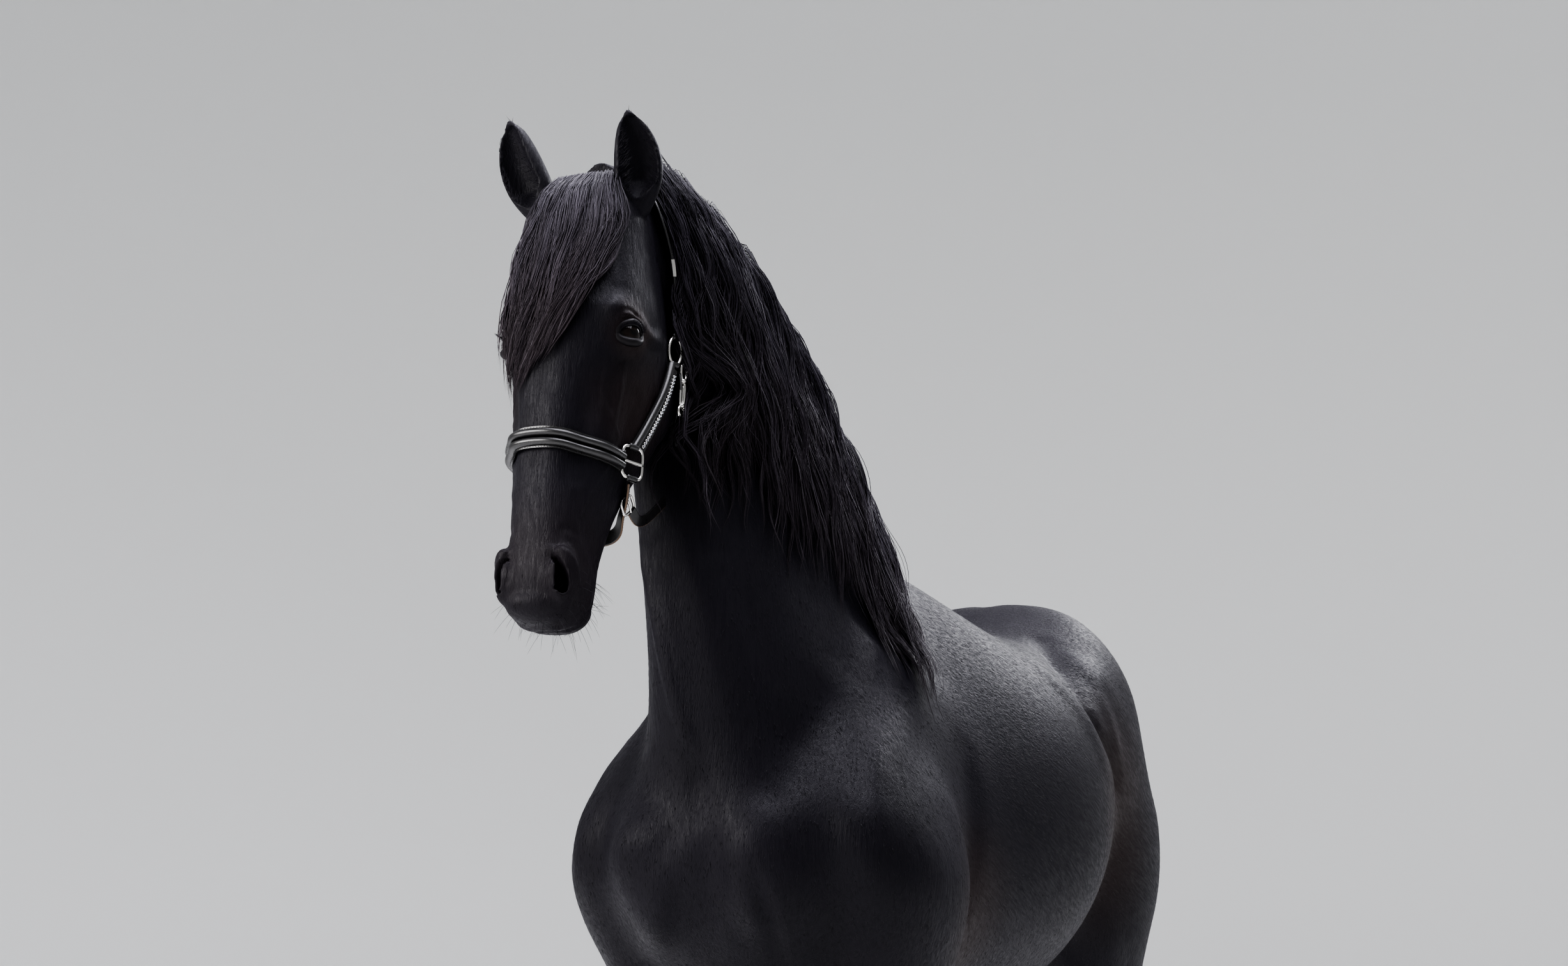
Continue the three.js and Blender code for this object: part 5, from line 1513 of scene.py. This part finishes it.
line, normals_out = strap_line(CROWN_HALF, 6)
at, _, _, out = along_line(line, normals_out, 2.0)
nearest = np.argmin(distance(at, place(head_point(86, -178, -122))))
sleeve = slice(nearest - 6, nearest + 7)
add_piece(swept("crown_keeper", at[sleeve], out[sleeve], flat_profile(23, 7)), "metal", "crownpiece")

# %% The buckle and the free end of the chin strap
end_line = rows_between(head_line(1, (66, -150, 238), (64, -172, 246), (60, -200, 238), (57, -232, 218),
                                  (55, -262, 196)), 8)
facing = all_facing(LATERAL + FORWARD * 0.2 + DOWN * 0.3, end_line)
add_piece(swept("chin_strap_end", end_line, facing, flat_profile(15, 3.6)), "leather", "chin_strap")
add_piece(swept("chin_end_edge", end_line, facing, flat_profile(0.8, 2.4), (7.5, 0)), "edge", "chin_strap")
buckle = in_millimetres(collar_at((64, -142, 232), 9))
out = unit(LATERAL + FORWARD * 0.2)
slant = unit(DOWN * 0.75 - FORWARD * 0.66)
across = unit(np.cross(out, slant))
tongue = [buckle + slant * s + out * (1.5 + 2 * math.cos(s / 9)) for s in np.linspace(-12, 13, 10)]
buckle_frame = wire_form(oval_path(buckle, across, slant, 13, 11, 4.0), out, 2.0)
tongue = wire_form(tongue, across, 1.5, False)
add_piece(joined_form("chin_buckle", [buckle_frame, tongue]), "metal", "chin_strap")
for made, finish, _ in collar:
    if finish == "metal" and "cups" not in made.name or made.name.startswith("wraps"):
        smoothed(made)
print(len(collar), "pieces of the collar")

# %% [markdown]
# ## Finishes
# Short glossy hair mirrors the sky, so the coat is almost black with a cold violet sheen, and brown
# where it has bleached. Long hair is the same hair, with some locks painted lighter as a painted
# sheen along it. Leather, horn, metal and the wet eye each get their own grain.

# %% Node helpers
def put(value, socket):
    """A number, a colour or another node's output goes into a socket."""
    if isinstance(value, bpy.types.NodeSocket):
        socket.id_data.links.new(value, socket)
    else:
        socket.default_value = (*value, 1) if isinstance(value, tuple) else value


def new_material(name, colour, rough, **sockets):
    """A material with the sockets of its shader set, its net of nodes and that shader."""
    made = bpy.data.materials.new(name)
    made.use_nodes = True
    shader = made.node_tree.nodes["Principled BSDF"]
    for key, value in {"Base_Color": colour, "Roughness": rough, **sockets}.items():
        put(value, shader.inputs[key.replace("_", " ")])
    return made, made.node_tree, shader


def add_node(net, kind, **inputs):
    """A node with its sockets filled, each by its name or, after a low dash, by its number."""
    made = net.nodes.new("ShaderNode" + kind)
    for key, value in inputs.items():
        put(value, made.inputs[int(key[1:]) if key[0] == "_" else key.replace("_", " ")])
    return made


def attribute(net, name):
    made = net.nodes.new("ShaderNodeAttribute")
    made.attribute_name = name
    return made.outputs["Fac"]


def noise(net, stretch, detail=3.0, turned=(0, 0, 0)):
    """Noise with so many grains in a metre along x, y and z."""
    placed = add_node(net, "Mapping", Vector=add_node(net, "TexCoord").outputs["Object"],
                      Rotation=list(turned), Scale=[1 / s for s in stretch])
    placed.vector_type = "TEXTURE"
    made = add_node(net, "TexNoise", Vector=placed.outputs["Vector"], Scale=1.0, Detail=detail)
    return made.outputs["Fac"]


def between(net, fac, low, high):
    """Spreads a noise, which keeps near its middle, from one number to another."""
    made = add_node(net, "MapRange", Value=fac, From_Min=0.3, From_Max=0.7, To_Min=low, To_Max=high)
    return made.outputs["Result"]


def mixed(net, fac, a, b):
    made = net.nodes.new("ShaderNodeMix")
    made.data_type = "RGBA"
    for value, key in ((fac, "Factor"), (a, 6), (b, 7)):
        put(value, made.inputs[key])
    return made.outputs[2]


def bump(net, shader, height, strength, deep):
    made = add_node(net, "Bump", Height=height, Strength=strength, Distance=deep)
    put(made.outputs["Normal"], shader.inputs["Normal"])


def marked(net, shader, lighter=1.0):
    """The colour of the animal at each place, shared by skin and coat."""
    dark, light, brown = (tuple(c * lighter for c in colour) for colour in (
        (0.0050, 0.0045, 0.0066), (0.0088, 0.0078, 0.0112), (0.020, 0.0105, 0.0075)))
    base = mixed(net, between(net, noise(net, (3, 3, 3), 4), 0, 1), dark, light)
    put(mixed(net, attribute(net, "brown"), base, brown), shader.inputs["Base Color"])


# %% Coat and hair
coat, net, shader = new_material("short_coat", (0.006, 0.005, 0.007), 0.5, Specular_IOR_Level=0.12,
                                 Sheen_Weight=0.01, Sheen_Roughness=0.4, Sheen_Tint=(0.5, 0.46, 0.62))
marked(net, shader)


def hair_grain(net, short, long, detail):
    """Stretched noise, which slopes backwards where the hair lies and stands where it hangs."""
    lying = noise(net, (short, long, short), detail, (-0.42, 0, 0))
    hanging = noise(net, (short, short, long), detail)
    return add_node(net, "Mix", Factor=attribute(net, "hang"), _2=lying, _3=hanging).outputs[0]


streaks, clumps = hair_grain(net, 900, 100, 2), hair_grain(net, 260, 34, 3)
put(between(net, clumps, 0.36, 0.62), shader.inputs["Roughness"])
bump(net, shader, add_node(net, "Math", _0=streaks, _1=clumps).outputs[0], 0.75, 0.0010)

tuft_finish, net, shader = new_material("coat_tufts", (0.006, 0.005, 0.007), 0.45, Specular_IOR_Level=0.2)
marked(net, shader, 1.1)
bare_skin, net, shader = new_material("bare_skin", (0.005, 0.004, 0.005), 0.46, Specular_IOR_Level=0.18)
bump(net, shader, noise(net, (420, 420, 420), 4), 0.4, 0.0008)


# Dark and light are mixed by the strand tone. The light colour is a painted sheen: lighter locks stand in for
# highlights along the hair. Brown is the real bleach of the tips.
def hair_material(name, dark, light, tip):
    made, net, shader = new_material(name, dark, 0.46, Specular_IOR_Level=0.15, Sheen_Weight=0.02,
                                     Sheen_Tint=(0.6, 0.55, 0.7))
    base = mixed(net, attribute(net, "tone"), dark, light)
    put(mixed(net, attribute(net, "brown"), base, tip), shader.inputs["Base Color"])
    return made


# The light colours are painted sheen, grey-violet like the sky mirrored in black hair; the forelock's painted
# sheen is the brightest.
hair_finish = hair_material("long_hair", (0.0024, 0.0022, 0.0031), (0.027, 0.024, 0.033),
                            (0.050, 0.034, 0.031))
forelock_finish = hair_material("forelock_hair", (0.0040, 0.0036, 0.0050), (0.070, 0.064, 0.078),
                                (0.062, 0.043, 0.045))

# %% Horn, eye, leather and metal
horn_finish, net, shader = new_material("horn", (0.012, 0.011, 0.010), 0.5, Specular_IOR_Level=0.25)
rings = between(net, noise(net, (150, 150, 6), 4), 0, 1)
put(mixed(net, rings, (0.006, 0.0055, 0.005), (0.017, 0.015, 0.0135)), shader.inputs["Base Color"])
bump(net, shader, noise(net, (260, 260, 20), 3), 0.5, 0.0008)

eye_finish, net, shader = new_material("wet_eye", (0.006, 0.003, 0.002), 0.10, Specular_IOR_Level=0.2,
                                        Coat_Weight=0.1, Coat_Roughness=0.03)
rays = between(net, noise(net, (500, 500, 500), 3), 0, 1)
iris = mixed(net, rays, (0.0024, 0.0012, 0.0007), (0.008, 0.0036, 0.002))
rim = add_node(net, "MapRange", Value=attribute(net, "iris"), From_Min=0.9, From_Max=1.05).outputs["Result"]
hole = add_node(net, "MapRange", Value=attribute(net, "pupil"), From_Min=0.92, From_Max=1.1).outputs["Result"]
inner = mixed(net, hole, (0.0006, 0.0006, 0.0009), iris)
put(mixed(net, rim, inner, (0.0034, 0.0024, 0.0022)), shader.inputs["Base Color"])

leather_finish, net, shader = new_material("black_leather", (0.006, 0.0056, 0.0058), 0.3,
                                           Specular_IOR_Level=0.55)
put(between(net, noise(net, (60, 60, 60), 4), 0.24, 0.38), shader.inputs["Roughness"])
bump(net, shader, noise(net, (1100, 1100, 1100), 3), 0.25, 0.0004)
edge_finish, _, _ = new_material("cut_edge", (0.10, 0.062, 0.036), 0.6)
thread_finish, _, _ = new_material("thread", (0.022, 0.021, 0.022), 0.6)
metal_finish, net, shader = new_material("bright_metal", (0.46, 0.45, 0.43), 0.2, Metallic=1.0)
put(between(net, noise(net, (300, 300, 300), 4), 0.14, 0.28), shader.inputs["Roughness"])
stone_finish, _, _ = new_material("cut_stone", (0.62, 0.64, 0.68), 0.05, Metallic=0.85)
FINISHES = {"leather": (leather_finish, "strap"), "edge": (edge_finish, "strap"),
            "thread": (thread_finish, "strap"), "metal": (metal_finish, "fitting"),
            "stone": (stone_finish, "fitting")}

# %% Where the skin hangs or lies, and where it is brown
give_values(skin.data, "hang", 1 - trunk_share(points))
give_values(skin.data, "brown", warmth(points))

# %% Ride and replace
smoothed(skin)
skin.name = "skin"
FLESH = ["head", "neck", "torso", "ear_left", "ear_right", "leg_front_left", "leg_front_right",
         "leg_hind_left", "leg_hind_right"]


def dress(obj, finish, slot, *nodes):
    obj.data.materials.clear()
    obj.data.materials.append(finish)
    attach(obj, "root")
    if nodes:
        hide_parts(*nodes)


dress(skin, coat, "coat", *FLESH)
for piece in manes + feathers + lashes + whiskers:
    dress(piece, forelock_finish if piece.name.startswith("forelock") else hair_finish, "coat")
for piece in tufts:
    dress(piece, tuft_finish, "coat")
for piece in lids:
    dress(piece, bare_skin, "coat")
for piece in tails:
    dress(piece, hair_finish, "coat", "tail")
dress(dock, coat, "coat", "tail")
for ball, word in zip(eyes, ("left", "right")):
    dress(ball, eye_finish, "eye", "eye_" + word)
for horn, node in hoofs:
    dress(horn, horn_finish, "hoof", node)
for piece, finish, node in collar:
    dress(piece, *FINISHES[finish], node)

# %% [markdown]
# ## Light and floor
# A wide pale floor that rises far away gives no horizon. Three big soft lamps stand in for an
# overcast sky with a bright side, as in a photographer's studio.

# %% Floor and light
def bowl(flat, n=96):
    """A floor that is level up to a distance and then curves up."""
    a = np.linspace(0, 2 * np.pi, n, endpoint=False)
    rings = []
    for r in (0.01, 1, 3, 6, flat, 10.5, 12, 13.2, 14, 14.5, 14.8, 15):
        high = 13 * (max(0, r - flat) / 6) ** 3
        rings.append(np.stack([r * np.cos(a), r * np.sin(a), np.full(n, high)], 1))
    faces = [f[::-1] for f in grid_faces(len(rings), n)] + [list(range(n))]
    return smoothed(mesh_object("floor", np.vstack(rings), faces))


floor = bowl(9)
floor_finish, _, _ = new_material("pale_floor", (0.78, 0.78, 0.77), 0.8)
floor.data.materials.append(floor_finish)
floor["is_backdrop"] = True


def soft_lamp(name, spot, target, size, power, colour):
    lamp = bpy.data.lights.new(name, "AREA")
    lamp.shape = "RECTANGLE"
    lamp.size, lamp.size_y = size
    lamp.energy = power
    lamp.color = colour
    made = in_scene(name, lamp)
    made.location = spot
    made.rotation_euler = (Vector(target) - Vector(spot)).to_track_quat("-Z", "Y").to_euler()


soft_lamp("sky_lamp", (0.6, -0.8, 5.2), (0, -0.1, 1.2), (3.6, 4.6), 500, (0.93, 0.92, 1.0))
soft_lamp("key_lamp", (-2.6, -4.2, 2.8), (0, -0.6, 1.5), (2.6, 2.8), 340, (1.0, 0.98, 0.97))
soft_lamp("rim_lamp", (1.5, 6.0, 5.4), (0.1, 0.4, 1.4), (2.4, 1.8), 230, (0.95, 0.95, 1.0))
world = bpy.data.worlds.new("studio")
world.use_nodes = True
background = world.node_tree.nodes["Background"]
put((0.86, 0.88, 0.92), background.inputs["Color"])
put(0.6, background.inputs["Strength"])
bpy.context.scene.world = world
bpy.context.scene.view_settings.view_transform = "AgX"
bpy.context.scene.view_settings.look = "AgX - High Contrast"

# %% Sizes
visual_box = [list(corner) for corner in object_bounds()]
for word, low, high in zip(("x", "y", "z"), *visual_box):
    print(word, round(low, 3), "to", round(high, 3))
